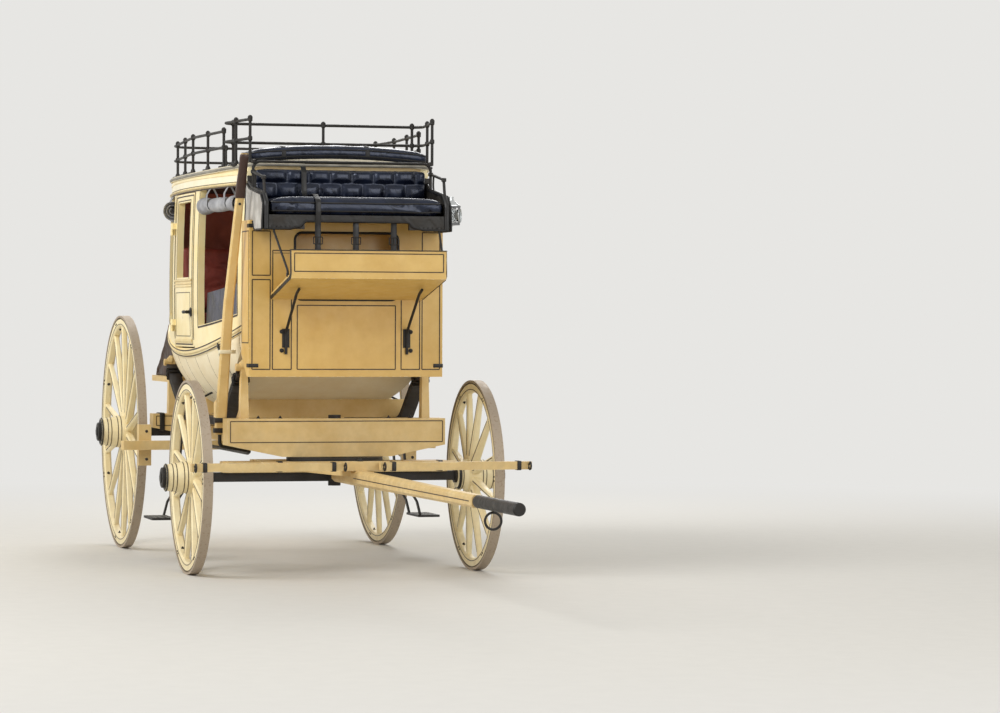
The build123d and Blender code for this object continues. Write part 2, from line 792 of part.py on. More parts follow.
with BuildPart() as side_left:
    add(skin)
    with BuildPart(mode=Mode.PRIVATE) as band:
        add(proud)
        add(outline(sill_low, sill_high), mode=Mode.INTERSECT)
    add(band.part)
    # Rows: low edge of each raised bead along the letterboard.
    for low in (LETTER_LOW, Z_EAVE - BEAD_H - 4.0):
        with BuildSketch(shell_plane):
            with Locations((FAR_AXIS + HALF_EAVE, low + BEAD_H / 2)):
                Rectangle(2 * BEAD_OUT, BEAD_H)
        revolve(axis=far_line, revolution_arc=-2 * SWEEP)
    add(body_above_sill, mode=Mode.INTERSECT)
    add(sky, mode=Mode.SUBTRACT)
    for x_from, x_to in (front_quarter, rear_quarter):
        add(side_opening(x_from, x_to, QUARTER_LOW, LETTER_LOW, True), mode=Mode.SUBTRACT)
    add(side_opening(DOOR_BACK, DOOR_FRONT, DOOR_LOW, DOOR_TOP, False), mode=Mode.SUBTRACT)
    add(knuckles(-1, -KNUCKLE_H - RUN_GAP))
mirrored(finish(side_left, "side_left"), "side_right")

with BuildPart() as door_left:
    add(skin)
    add(side_opening(DOOR_BACK + DOOR_GAP, DOOR_FRONT - DOOR_GAP, DOOR_LOW + DOOR_GAP,
                     DOOR_TOP - DOOR_GAP, False), mode=Mode.INTERSECT)
    add(side_opening(DOOR_BACK + DOOR_STILE, DOOR_FRONT - DOOR_STILE, DOOR_SILL,
                     DOOR_TOP - DOOR_HEAD, False), mode=Mode.SUBTRACT)
    add(knuckles(1, 0.0))
mirrored(finish(door_left, "door_left"), "door_right")

# The belly is the turned-under part of the sides below the sill band.
with BuildPart() as belly:
    add(skin)
    add(outline(floor_low, sill_low), mode=Mode.INTERSECT)
    add(body_above_floor, mode=Mode.INTERSECT)
    add(mirror(belly.part, about=Plane.XZ))
finish(belly, "belly")

with BuildPart() as floor:
    add(core)
    add(outline(floor_low, floor_high), mode=Mode.INTERSECT)
    add(body_above_floor, mode=Mode.INTERSECT)
finish(floor, "floor")

with BuildPart() as rear_panel:
    add(core)
    add(body_block(floor_high), mode=Mode.INTERSECT)
    add(body_block(floor_high, 0.0, END_T), mode=Mode.SUBTRACT)
    add(sky, mode=Mode.SUBTRACT)
finish(rear_panel, "rear_panel")

with BuildPart() as front_panel:
    add(core)
    add(body_block(floor_high), mode=Mode.INTERSECT)
    add(body_block(floor_high, END_T, 0.0), mode=Mode.SUBTRACT)
    add(sky, mode=Mode.SUBTRACT)
finish(front_panel, "front_panel")

# Roof: a crowned sheet of boards that laps over the letterboards.
with BuildPart() as roof:
    with BuildSketch(Plane.XY.offset(Z_EAVE - 80.0)):
        with BuildLine():
            x_front = at(FRONT_FACE + ROOF_LAP)
            x_back = at(REAR_FACE - ROOF_LAP)
            half_front = HALF_EAVE + ROOF_LAP - plan_in(FRONT_FACE + ROOF_LAP)
            half_back = HALF_EAVE + ROOF_LAP - plan_in(REAR_FACE - ROOF_LAP)
            half_mid = HALF_EAVE + ROOF_LAP
            for side in (-1, 1):
                ThreePointArc((x_front, side * half_front), (at(MID), side * half_mid),
                              (x_back, side * half_back))
            Line((x_front, -half_front), (x_front, half_front))
            Line((x_back, -half_back), (x_back, half_back))
        make_face()
        fillet(vertices(), ROOF_CORNER)
    extrude(amount=300.0)
    add(sky, mode=Mode.INTERSECT)
    add(above_roof(ROOF_T), mode=Mode.SUBTRACT)
finish(roof, "roof")


# Front boot: a panelled box under the driver's seat, with a foot well.
with BuildPart() as front_boot:
    with BuildSketch(Plane.XZ.offset(-BOOT_HALF)):
        with BuildLine():
            Polyline((at(FRONT_FACE), BOOT_LOW + BOOT_TOE), (at(FRONT_FACE), BOOT_TOP),
                     (at(BOOT_FRONT), BOOT_TOP), (at(BOOT_FRONT), BOOT_LOW),
                     (at(BOOT_FRONT) - 60.0, BOOT_LOW), close=True)
        make_face()
    extrude(amount=2 * BOOT_HALF)
    with BuildSketch(Plane.XZ.offset(-BOOT_HALF + BOOT_T)):
        with BuildLine():
            Polyline((at(FRONT_FACE), BOOT_LOW + BOOT_TOE + BOOT_T), (at(FRONT_FACE), BOOT_TOP - BOOT_T),
                     (at(BOOT_FRONT) - BOOT_T, BOOT_TOP - BOOT_T), (at(BOOT_FRONT) - BOOT_T, BOOT_LOW + BOOT_T),
                     (at(BOOT_FRONT) - 60.0, BOOT_LOW + BOOT_T), close=True)
        make_face()
    extrude(amount=2 * (BOOT_HALF - BOOT_T), mode=Mode.SUBTRACT)
    with BuildSketch(Plane.YZ.offset(at(BOOT_FRONT) - BOOT_T - 5.0)):
        with Locations((0, (WELL_TOP + WELL_FLOOR) / 2)):
            RectangleRounded(2 * WELL_HALF, WELL_TOP - WELL_FLOOR, WELL_ROUND)
    extrude(amount=BOOT_T + 10.0, mode=Mode.SUBTRACT)
finish(front_boot, "front_boot")

# Footboard: a sloping board with an upright toe lip.
with BuildPart() as footboard:
    with BuildSketch(Plane.XZ.offset(-FOOT_HALF)):
        with BuildLine():
            Polyline((at(BOOT_FRONT), FOOT_HEEL), (at(FOOT_X - FOOT_T), FOOT_TOP - FOOT_LIP),
                     (at(FOOT_X - FOOT_T), FOOT_TOP), (at(FOOT_X), FOOT_TOP),
                     (at(FOOT_X), FOOT_TOP - FOOT_LIP - FOOT_T), (at(BOOT_FRONT), FOOT_HEEL - FOOT_T - 4.0),
                     close=True)
        make_face()
    extrude(amount=2 * FOOT_HALF)
finish(footboard, "footboard")


def rod(points, radius, bend):
    """Round iron bar bent along a route of straight runs and arcs."""
    with BuildPart(mode=Mode.PRIVATE) as bar:
        with BuildLine() as route:
            if len(points) > 2:
                FilletPolyline(*points, radius=bend)
            else:
                Line(*points)
        with BuildSketch(Plane(origin=route.line @ 0, z_dir=route.line % 0)):
            RegularPolygon(radius, BAR_SIDES)
        sweep(path=route.line)
    return bar.part


def knob(x, y, z, radius, neck):
    """Forged ball in flats, standing on a neck at a height."""
    # Rows: height above the neck and radius, in ball radii.
    rows = [(0.0, neck / radius), (0.55, 0.96), (1.25, 0.96), (1.85, 0.4)]
    with BuildPart(mode=Mode.PRIVATE) as ball:
        for low, high in zip(rows, rows[1:]):
            for lift, share in (low, high):
                with BuildSketch(Plane.XY.offset(z + lift * radius)):
                    with Locations((x, y)):
                        RegularPolygon(share * radius, BAR_SIDES)
            loft(ruled=True)
    return ball.part


# Curved irons that carry the footboard from the boot's foot.
with BuildPart() as footboard_irons:
    for side in (-1, 1):
        slope = (FOOT_TOP - FOOT_LIP - FOOT_HEEL) / (FOOT_X - BOOT_FRONT)
        meet_x = FOOT_X - 190.0
        meet_z = FOOT_HEEL - FOOT_T - 8.0 + slope * (meet_x - BOOT_FRONT) - IRON_R
        add(rod([(at(BOOT_FRONT) + IRON_R + SEAT_GAP, side * 330.0, 1180.0),
                 (at(BOOT_FRONT) + IRON_R + SEAT_GAP, side * 330.0, 1300.0),
                 (at(meet_x - 60.0), side * 330.0, meet_z - 22.0),
                 (at(meet_x), side * 330.0, meet_z)], IRON_R, 60.0))
finish(footboard_irons, "footboard_irons")

# Driver's seat: board, wings, back board and front skirt.
SEAT_Z = BOOT_TOP
SEAT_TOP = SEAT_Z + SEAT_BOARD_T
with BuildPart() as driver_seat:
    with BuildSketch(Plane.XY.offset(SEAT_Z)):
        with BuildLine():
            Polyline((at(FRONT_FACE), -SEAT_HALF), (at(SEAT_FRONT), -SEAT_HALF),
                     (at(SEAT_FRONT), SEAT_HALF), (at(FRONT_FACE), SEAT_HALF), close=True)
        make_face()
    extrude(amount=SEAT_BOARD_T)
    for side in (-1, 1):
        with BuildSketch(Plane.XZ.offset(-side * SEAT_HALF)):
            with BuildLine():
                Polyline((at(FRONT_FACE), SEAT_Z), (at(FRONT_FACE), SEAT_SIDE_TOP + 40.0),
                         (at(FRONT_FACE) + 90.0, SEAT_SIDE_TOP), (at(SEAT_FRONT) - 60.0, SEAT_SIDE_TOP - 40.0),
                         (at(SEAT_FRONT), SEAT_SIDE_TOP - 90.0), (at(SEAT_FRONT), SEAT_SKIRT_LOW),
                         (at(BOOT_FRONT) + 1.0, SEAT_SKIRT_LOW), (at(BOOT_FRONT) + 1.0, SEAT_Z), close=True)
            make_face()
        extrude(amount=side * SEAT_SIDE_T)
    with BuildSketch(Plane.YZ.offset(at(SEAT_FRONT))):
        with BuildLine():
            Polyline((-SEAT_HALF, SEAT_SKIRT_LOW), (-WELL_HALF, SEAT_SKIRT_LOW), (-WELL_HALF, SEAT_Z - 10.0),
                     (WELL_HALF, SEAT_Z - 10.0), (WELL_HALF, SEAT_SKIRT_LOW), (SEAT_HALF, SEAT_SKIRT_LOW),
                     (SEAT_HALF, SEAT_TOP), (-SEAT_HALF, SEAT_TOP), close=True)
        make_face()
    extrude(amount=-SEAT_SIDE_T)
    with BuildSketch(Plane.XY.offset(SEAT_TOP)):
        with BuildLine():
            Polyline((at(FRONT_FACE), -SEAT_HALF), (at(FRONT_FACE) + BOOT_T, -SEAT_HALF),
                     (at(FRONT_FACE) + BOOT_T, SEAT_HALF), (at(FRONT_FACE), SEAT_HALF), close=True)
        make_face()
    extrude(amount=BACK_TOP - 40.0 - SEAT_TOP)
finish(driver_seat, "driver_seat")


def pad(name, low, high, round_edge):
    """Plain soft block between two corners, rounded on its long edges."""
    size = Vector(*high) - Vector(*low)
    middle = (Vector(*high) + Vector(*low)) / 2
    with BuildPart() as soft:
        with Locations(middle):
            Box(size.X, size.Y, size.Z)
        fillet(soft.edges().filter_by(Axis.Y), round_edge)
    return finish(soft, name)


SOFT = SEAT_GAP
back_face = at(FRONT_FACE) + BOOT_T + SOFT
inside_seat = SEAT_HALF - SEAT_SIDE_T - 2.0
pad("driver_cushion", (back_face, -inside_seat, SEAT_TOP + SOFT),
    (at(SEAT_FRONT) + 6.0, inside_seat, SEAT_TOP + SOFT + CUSHION_H), 30.0)
pad("driver_back", (back_face, -inside_seat, SEAT_TOP + CUSHION_H + 8.0),
    (back_face + BACK_T, inside_seat, BACK_TOP), 24.0)

# Arm rails and back rail of the driver's seat.
with BuildPart() as seat_irons:
    rail_y = SEAT_HALF - SEAT_SIDE_T / 2
    back_x = back_face + BACK_T + IRON_R + SOFT
    add(rod([(back_x, -rail_y, SEAT_SIDE_TOP - 10.0), (back_x, -rail_y, ARM_TOP),
             (back_x, rail_y, ARM_TOP), (back_x, rail_y, SEAT_SIDE_TOP - 10.0)], IRON_R, 40.0))
    for side in (-1, 1):
        add(rod([(back_x, side * rail_y, 2150.0), (at(SEAT_FRONT) - 70.0, side * rail_y, 2110.0),
                 (at(SEAT_FRONT) - 40.0, side * rail_y, SEAT_SIDE_TOP - 70.0)], IRON_R, 35.0))
    add(driver_seat.part, mode=Mode.SUBTRACT)
finish(seat_irons, "seat_irons")

# Roof seat cushion, on the front of the roof.
with BuildPart() as roof_cushion:
    with BuildSketch(Plane.YZ.offset(at(ROOF_SEAT_BACK))):
        with BuildLine():
            edges = [(-ROOF_SEAT_HALF, roof_top(ROOF_SEAT_HALF)), (0.0, roof_top(0.0)),
                     (ROOF_SEAT_HALF, roof_top(ROOF_SEAT_HALF))]
            ThreePointArc(*[(y, z + SOFT) for y, z in edges])
            ThreePointArc(*[(y, z + ROOF_SEAT_H) for y, z in edges])
            Line((edges[0][0], edges[0][1] + SOFT), (edges[0][0], edges[0][1] + ROOF_SEAT_H))
            Line((edges[2][0], edges[2][1] + SOFT), (edges[2][0], edges[2][1] + ROOF_SEAT_H))
        make_face()
    extrude(amount=ROOF_SEAT_FRONT - ROOF_SEAT_BACK)
    chamfer(roof_cushion.faces().sort_by(Axis.Z)[-1].edges(), 16.0)
finish(roof_cushion, "roof_cushion")


def rail_half(x):
    """Half width of the roof rail at a station."""
    if x > MID:
        share = (x - MID) / (RAIL_FRONT - MID)
        return RAIL_HALF_MID + share * (RAIL_HALF_FRONT - RAIL_HALF_MID)
    share = (x - MID) / (RAIL_BACK - MID)
    return RAIL_HALF_MID + share * (RAIL_HALF_BACK - RAIL_HALF_MID)


def post(x, y, top, radius, ball):
    """Upright rail post with a small ball on top."""
    with BuildPart(mode=Mode.PRIVATE) as upright:
        with BuildSketch(Plane.XY.offset(Z_EAVE)):
            with Locations((at(x), y)):
                RegularPolygon(radius, BAR_SIDES)
        extrude(amount=top - Z_EAVE)
        add(knob(at(x), y, top - ball * 0.3, ball, radius))
    return upright.part


roof_sky = above_roof(ROOF_T)
with BuildPart() as roof_rail:
    for z in (RAIL_TOP, RAIL_MID):
        rows = [(RAIL_FRONT, RAIL_HALF_FRONT), (MID, RAIL_HALF_MID), (RAIL_BACK, RAIL_HALF_BACK)]
        route = [(at(x), -y, z) for x, y in rows] + [(at(x), y, z) for x, y in reversed(rows)]
        with BuildLine() as bar_line:
            FilletPolyline(*route, radius=[2600.0, RAIL_CORNER, RAIL_CORNER, 2600.0])
        with BuildSketch(Plane(origin=bar_line.line @ 0, z_dir=bar_line.line % 0)):
            RegularPolygon(RAIL_R, BAR_SIDES)
        sweep(path=bar_line.line)
    for side in (-1, 1):
        for x in (RAIL_FRONT, -690.0, -1420.0, -1830.0):
            add(post(x, side * rail_half(x), RAIL_TOP, RAIL_R, FINIAL_R))
        add(post(MID, side * (rail_half(MID) - 5.0), RAIL_TOP, RAIL_R, FINIAL_R))
        add(post(RAIL_BACK, side * 190.0, RAIL_TOP, RAIL_R, FINIAL_R))
    add(roof_sky, mode=Mode.INTERSECT)
finish(roof_rail, "roof_rail")

# Open-fronted rail round the roof seat.
SEAT_RAIL_BACK = RAIL_FRONT + 2 * RAIL_R + 14.0
with BuildPart() as roof_seat_rail:
    for z in (SEAT_RAIL_TOP, SEAT_RAIL_MID):
        add(rod([(at(SEAT_RAIL_FRONT), -SEAT_RAIL_HALF, z), (at(SEAT_RAIL_BACK), -SEAT_RAIL_WIDE, z),
                 (at(SEAT_RAIL_BACK), SEAT_RAIL_WIDE, z), (at(SEAT_RAIL_FRONT), SEAT_RAIL_HALF, z)],
                RAIL_R, SEAT_RAIL_BEND))
    for side in (-1, 1):
        for share in (0.0, 0.5):
            x = SEAT_RAIL_FRONT + share * (SEAT_RAIL_BACK - SEAT_RAIL_FRONT)
            y = SEAT_RAIL_HALF + share * (SEAT_RAIL_WIDE - SEAT_RAIL_HALF)
            add(post(x, side * y, SEAT_RAIL_TOP, RAIL_R, FINIAL_R))
        add(post(SEAT_RAIL_BACK, side * (SEAT_RAIL_WIDE - SEAT_RAIL_BEND), SEAT_RAIL_TOP, RAIL_R, FINIAL_R))
    add(post(SEAT_RAIL_BACK, 0.0, SEAT_RAIL_TOP, RAIL_R, FINIAL_R))
    add(roof_sky, mode=Mode.INTERSECT)
finish(roof_seat_rail, "roof_seat_rail")


# Rear platform on two bearers, and the leather cover over it.
with BuildPart() as rear_platform:
    with BuildSketch(Plane.XY.offset(PLATFORM_TOP - PLATFORM_T)):
        with BuildLine():
            wide_x = at(PLATFORM_FRONT - 80.0)
            neck = BRACE_Y - BRACE_W / 2 - 20.0
            Polyline((at(PLATFORM_FRONT), -neck), (wide_x, -neck), (wide_x, -PLATFORM_HALF),
                     (at(-REAR_REACH), -PLATFORM_HALF), (at(-REAR_REACH), PLATFORM_HALF),
                     (wide_x, PLATFORM_HALF), (wide_x, neck), (at(PLATFORM_FRONT), neck), close=True)
        make_face()
        fillet(vertices().sort_by(Axis.X)[:2], 60.0)
    extrude(amount=PLATFORM_T)
    # A cleat along the open edge takes trunk straps behind the cover.
    with BuildSketch(Plane.XY.offset(PLATFORM_TOP)):
        with Locations((at(-REAR_REACH + CLEAT_W / 2), 0)):
            Rectangle(CLEAT_W, 2 * PLATFORM_HALF - 2 * CLEAT_SHORT)
    extrude(amount=CLEAT_H)
    for side in (-1, 1):
        with BuildSketch(Plane.XZ.offset(-side * 300.0)):
            with BuildLine():
                low = PLATFORM_TOP - PLATFORM_T
                front = PLATFORM_FRONT + 520.0
                Polyline((at(-REAR_REACH) + 90.0, low), (at(-REAR_REACH) + 90.0, low - 30.0),
                         (at(PLATFORM_FRONT), low - 70.0), (at(front), floor_z(front) - 50.0),
                         (at(front), floor_z(front) + 12.0), (at(PLATFORM_FRONT) + 130.0, low + 12.0), close=True)
            make_face()
        extrude(amount=side * 56.0)
    add(body_above_floor, mode=Mode.SUBTRACT)
finish(rear_platform, "rear_platform")

with BuildPart() as rear_boot_cover:
    for shrink, mode in ((0.0, Mode.ADD), (COVER_T, Mode.SUBTRACT)):
        with BuildSketch(Plane.XZ.offset(-COVER_HALF + shrink)):
            with BuildLine():
                Polyline((at(REAR_FACE), COVER_TOP - shrink), (at(REAR_FACE - REAR_SWELL - COVER_TOP_DEPTH), COVER_TOP - shrink),
                         (at(COVER_BACK) + shrink, PLATFORM_TOP + 70.0), (at(COVER_BACK) + shrink, PLATFORM_TOP + SOFT - 4 * shrink),
                         (at(REAR_FACE), PLATFORM_TOP + SOFT - 4 * shrink), close=True)
            make_face()
        extrude(amount=2 * (COVER_HALF - shrink), mode=mode)
    add(body_above_floor, mode=Mode.SUBTRACT)
finish(rear_boot_cover, "rear_boot_cover")


# Iron and timber standards that hold the thoroughbraces' ends.
def standards(name, x, foot):
    """A pair of tapered standards, each with a cross pin and a round knob."""
    with BuildPart() as pair:
        for side in (-1, 1):
            # Rows: height, width across, depth fore and aft.
            for z, wide, deep in ((foot, STANDARD_W, STANDARD_D), (STANDARD_TOP - 30.0, STANDARD_W - 8.0, STANDARD_D - 22.0)):
                with BuildSketch(Plane.XY.offset(z)):
                    with Locations((x, side * BRACE_Y)):
                        Rectangle(deep, wide)
            loft(ruled=True)
            with BuildSketch(Plane.XZ.offset(-side * BRACE_Y - BRACE_W / 2 - 8.0)):
                with Locations((x, BRACE_END_Z + BRACE_T / 2 + 8.0)):
                    Circle(20.0)
            extrude(amount=BRACE_W + 16.0)
            add(knob(x, side * BRACE_Y, STANDARD_TOP - KNOB_SINK, KNOB_R, KNOB_NECK))
    return finish(pair, name)


front_pair = standards("front_standards", AXLE_X, BOLSTER_TOP)
rear_pair = standards("rear_standards", REAR_AXLE_X, REAR_BED_TOP)

# Thoroughbraces: stacks of leather slung between the standards.
with BuildPart() as thoroughbraces:
    # Rows: station, height of the strap's middle.
    slack = [
        (-BRACE_LAP, BRACE_END_Z), (-190.0, 985.0), (-450.0, 800.0), (-1660.0, 800.0),
        (-WHEELBASE + 190.0, 985.0), (-WHEELBASE + BRACE_LAP, BRACE_END_Z),
    ]
    for side in (-1, 1):
        with BuildLine() as route:
            FilletPolyline(*[(at(x), side * BRACE_Y, z) for x, z in slack], radius=[300.0, 260.0, 260.0, 300.0])
        with BuildSketch(Plane(origin=route.line @ 0, x_dir=(0, 1, 0), z_dir=route.line % 0)):
            Rectangle(BRACE_W, BRACE_T)
        sweep(path=route.line)
    for pair in (front_pair, rear_pair):
        add(pair, mode=Mode.SUBTRACT)
finish(thoroughbraces, "thoroughbraces")

# Two bearers across the braces, shaped to the floor's underside.
with BuildPart() as bearers:
    brace_top = 800.0 + BRACE_T / 2
    for shift in (-BEARER_OUT, BEARER_OUT):
        with BuildSketch(Plane.XY.offset(brace_top + SOFT)):
            with Locations((at(MID + shift), 0)):
                Rectangle(BEARER_W, 2 * BEARER_HALF)
        extrude(amount=200.0)
    add(body_above_floor, mode=Mode.SUBTRACT)
    add(outline([(x, z - 1.0) for x, z in floor_low], [(x, z + 400.0) for x, z in floor_low]), mode=Mode.SUBTRACT)
finish(bearers, "body_bearers")


# Brake: beam under the reaches, blocks at the tyres, lever and rod.
BLOCK_FACE_R = REAR_WHEEL_D / 2 + BLOCK_GAP
with BuildPart() as brake_beam:
    beam_top = REACH_LOW
    with BuildSketch(Plane.XY.offset(beam_top - BEAM_W)):
        with Locations((at(BEAM_X), 0)):
            Rectangle(BEAM_W, 2 * BEAM_HALF)
            chamfer(vertices(), 10.0)
    extrude(amount=BEAM_W)
    for side in (-1, 1):
        with BuildSketch(Plane.XZ.offset(-side * (TRACK / 2 - BLOCK_W / 2))):
            with Locations((at(BEAM_X) - BEAM_W / 2 - 20.0, beam_top - BEAM_W / 2)):
                Rectangle(84.0, BLOCK_H)
            with Locations((REAR_AXLE_X, REAR_WHEEL_D / 2)):
                Circle(BLOCK_FACE_R, mode=Mode.SUBTRACT)
            with Locations((at(BEAM_X), beam_top - BEAM_W / 2)):
                Rectangle(BEAM_W, BLOCK_H + 10.0, mode=Mode.SUBTRACT)
        extrude(amount=-side * BLOCK_W)
finish(brake_beam, "brake_beam")

LEVER_PIN_R = 14.0
LEVER_ROWS = [
    # Rows: station, y, height, width across, thickness fore and aft.
    (-124.0, -606.0, 742.0, 60.0, 34.0),
    (60.0, -596.0, 1450.0, 54.0, 32.0),
    (300.0, -560.0, 2238.0, 40.0, 28.0),
]
with BuildPart() as brake_lever:
    for low, high in zip(LEVER_ROWS, LEVER_ROWS[1:]):
        for x, y, z, wide, thick in (low, high):
            with BuildSketch(Plane.XY.offset(z)):
                with Locations((at(x), y)):
                    Rectangle(thick, wide)
                    chamfer(vertices(), 8.0)
        loft(ruled=True)
    # The pivot pin stands in the bolster's back face.
    with BuildSketch(Plane.YZ.offset(AXLE_X - BOLSTER_DEPTH / 2)):
        with Locations((-BOLSTER_LENGTH / 2 + 18.0, LEVER_ROWS[0][2] + 44.0)):
            Circle(LEVER_PIN_R)
    extrude(amount=-40.0)
finish(brake_lever, "brake_lever")

with BuildPart() as brake_rod:
    foot_x, foot_y, foot_z = LEVER_ROWS[0][:3]
    rod_y = -BRACE_Y + 60.0
    rod_z = REACH_LOW - BEAM_W / 2
    add(rod([(at(foot_x), foot_y, foot_z - SEAT_GAP), (at(foot_x), foot_y, foot_z - 60.0),
             (at(foot_x), rod_y, foot_z - 90.0), (at(foot_x) - 60.0, rod_y, rod_z),
             (at(BEAM_X) + BEAM_W / 2 + SEAT_GAP, rod_y, rod_z)], 10.0, 24.0))
finish(brake_rod, "brake_rod")

# Iron steps hung from the belly below each door.
with BuildPart() as steps:
    for side in (-1, 1):
        for shift in (-STEP_W / 2 + 20.0, STEP_W / 2 - 20.0):
            x = at(STEP_X + shift)
            hang = [(x, side * 476.0, 960.0), (x, side * 600.0, 900.0), (x, side * 640.0, 420.0),
                    (x, side * (STEP_Y - 70.0), STEP_Z + 90.0), (x, side * (STEP_Y - 50.0), STEP_Z + 12.0)]
            with BuildLine() as route:
                FilletPolyline(*hang, radius=[30.0, 90.0, 50.0])
            with BuildSketch(Plane(origin=route.line @ 0, x_dir=(1, 0, 0), z_dir=route.line % 0)):
                Rectangle(STEP_STRAP, STEP_STRAP_T)
            sweep(path=route.line)
        with BuildSketch(Plane.XY.offset(STEP_Z)):
            with Locations((at(STEP_X), side * STEP_Y)):
                RectangleRounded(STEP_W, 130.0, 18.0)
        extrude(amount=12.0)
    add(skin, mode=Mode.SUBTRACT)
    add(mirror(skin, about=Plane.XZ), mode=Mode.SUBTRACT)
finish(steps, "steps")

# Two straps from the seat's underside to the footboard.
with BuildPart() as straps:
    strap_x = SEAT_FRONT - SEAT_SIDE_T - 6.0
    slope = (FOOT_TOP - FOOT_LIP - FOOT_HEEL) / (FOOT_X - FOOT_T - BOOT_FRONT)
    strap_low = FOOT_HEEL + slope * (strap_x + STRAP_T - BOOT_FRONT) + SEAT_GAP
    for side in (-1, 1):
        with BuildSketch(Plane.XY.offset(strap_low)):
            with Locations((at(strap_x), side * STRAP_Y)):
                Rectangle(STRAP_T, STRAP_W, align=(Align.MIN, Align.CENTER))
        extrude(amount=SEAT_Z - SEAT_GAP - strap_low)
        # Check straps run from the body's sill down to the thoroughbraces.
        top = Vector(at(CHECK_X), side * (side_half(CHECK_X) + STRAP_T), CHECK_TOP)
        foot = Vector(at(CHECK_X + CHECK_LEAN), side * (BRACE_Y + BRACE_W / 2 + STRAP_T), CHECK_FOOT)
        with BuildSketch(Plane(origin=top, x_dir=(1, 0, 0), z_dir=foot - top)):
            Rectangle(STRAP_W, STRAP_T)
        extrude(amount=(foot - top).length)
    add(proud, mode=Mode.SUBTRACT)
    add(mirror(proud, about=Plane.XZ), mode=Mode.SUBTRACT)
finish(straps, "straps")

# Rolled leather curtains under the letterboard, two on each side.
with BuildPart() as curtain_rolls:
    for x_from, x_to in (front_quarter, rear_quarter):
        ends = [(x, side_half(x) - ROLL_IN) for x in (x_from + ROLL_SHORT, x_to - ROLL_SHORT)]
        roll_z = LETTER_LOW - ROLL_DROP
        length = ends[1][0] - ends[0][0]
        for side in (-1, 1):
            add(rod([(at(x), side * y, roll_z) for x, y in ends], ROLL_R, 0.0))
            for share in (0.25, 0.75):
                x = ends[0][0] + share * length
                y = ends[0][1] + share * (ends[1][1] - ends[0][1])
                with BuildSketch(Plane.XY.offset(roll_z)):
                    with Locations((at(x), side * y)):
                        Rectangle(ROLL_STRAP_W, ROLL_STRAP_T)
                extrude(amount=LETTER_LOW - SOFT - roll_z)
finish(curtain_rolls, "curtain_rolls")

# Lamp on the left of the driver's seat: body, hood, chimney and foot.
with BuildPart() as lamp:
    lamp_x = at(LAMP_X)
    lamp_y = SEAT_HALF + LAMP_OUT
    # Rows: low and high z, width at the foot and at the top.
    for low, high, wide_low, wide_high in LAMP_ROWS:
        for z, wide in ((low, wide_low), (high, wide_high)):
            with BuildSketch(Plane.XY.offset(z)):
                with Locations((lamp_x, lamp_y)):
                    Rectangle(wide, wide)
        loft(ruled=True)
    with BuildSketch(Plane.XZ.offset(-SEAT_HALF - SEAT_GAP)):
        with Locations((lamp_x, LAMP_ROWS[0][0] + 40.0)):
            Rectangle(30.0, 40.0)
    extrude(amount=-LAMP_OUT)
finish(lamp, "lamp")

# Benches across the cabin, with plain cushions and backs.
with BuildPart() as benches:
    for end, way in ((FRONT_FACE - END_T, -1), (REAR_FACE + END_T, 1)):
        with BuildSketch(Plane.XY.offset(Z_KEEL)):
            with BuildLine():
                near = at(end + way * (BENCH_DEPTH - BENCH_T))
                far = at(end + way * BENCH_DEPTH)
                Polyline((near, -600.0), (far, -600.0), (far, 600.0), (near, 600.0), close=True)
            make_face()
        extrude(amount=BENCH_TOP - Z_KEEL)
        with BuildSketch(Plane.XY.offset(BENCH_TOP)):
            with BuildLine():
                Polyline((at(end - way * 100.0), -600.0), (far, -600.0), (far, 600.0), (at(end - way * 100.0), 600.0),
                         close=True)
            make_face()
        extrude(amount=BENCH_T)
    add(core, mode=Mode.INTERSECT)
    add(inside_above_floor, mode=Mode.INTERSECT)
finish(benches, "benches")

with BuildPart() as bench_cushions:
    seat_low = BENCH_TOP + BENCH_T + SOFT
    for end, way in ((FRONT_FACE - END_T - 40.0, -1), (REAR_FACE + END_T + 40.0, 1)):
        for x_near, x_far, low, high in (
            (end, end + way * (BENCH_DEPTH - 50.0), seat_low, seat_low + BENCH_CUSHION),
            (end, end + way * BENCH_BACK_T, seat_low + BENCH_CUSHION, 1800.0),
        ):
            with Locations((at((x_near + x_far) / 2), 0, (low + high) / 2)):
                Box(abs(x_far - x_near), 2 * (side_half(end) - SIDE_T - 22.0), high - low)
finish(bench_cushions, "bench_cushions")
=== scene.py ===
import logging
import math
import random
from dataclasses import dataclass, field
from enum import Enum
from typing import Callable, Sequence

import bmesh
import bpy
from mathutils import Matrix, Vector, noise


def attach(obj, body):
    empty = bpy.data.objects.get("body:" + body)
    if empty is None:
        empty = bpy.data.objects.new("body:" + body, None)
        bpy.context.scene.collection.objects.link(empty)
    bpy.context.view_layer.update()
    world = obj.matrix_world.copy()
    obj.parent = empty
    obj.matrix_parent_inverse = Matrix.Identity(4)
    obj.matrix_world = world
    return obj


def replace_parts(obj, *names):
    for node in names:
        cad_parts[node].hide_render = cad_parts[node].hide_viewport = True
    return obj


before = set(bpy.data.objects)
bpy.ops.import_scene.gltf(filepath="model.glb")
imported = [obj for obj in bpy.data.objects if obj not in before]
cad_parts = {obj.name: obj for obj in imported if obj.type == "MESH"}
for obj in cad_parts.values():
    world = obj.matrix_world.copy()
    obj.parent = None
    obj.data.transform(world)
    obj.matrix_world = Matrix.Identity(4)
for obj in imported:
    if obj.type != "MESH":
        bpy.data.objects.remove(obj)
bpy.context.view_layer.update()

logging.basicConfig(level=logging.INFO, format="%(levelname)s %(name)s: %(message)s")
log = logging.getLogger("stagecoach")

Point = Sequence[float]
Flat = tuple[float, float]
Box = tuple[float, float, float, float]
Tree = bpy.types.NodeTree
Node = bpy.types.Node
Thing = bpy.types.Object

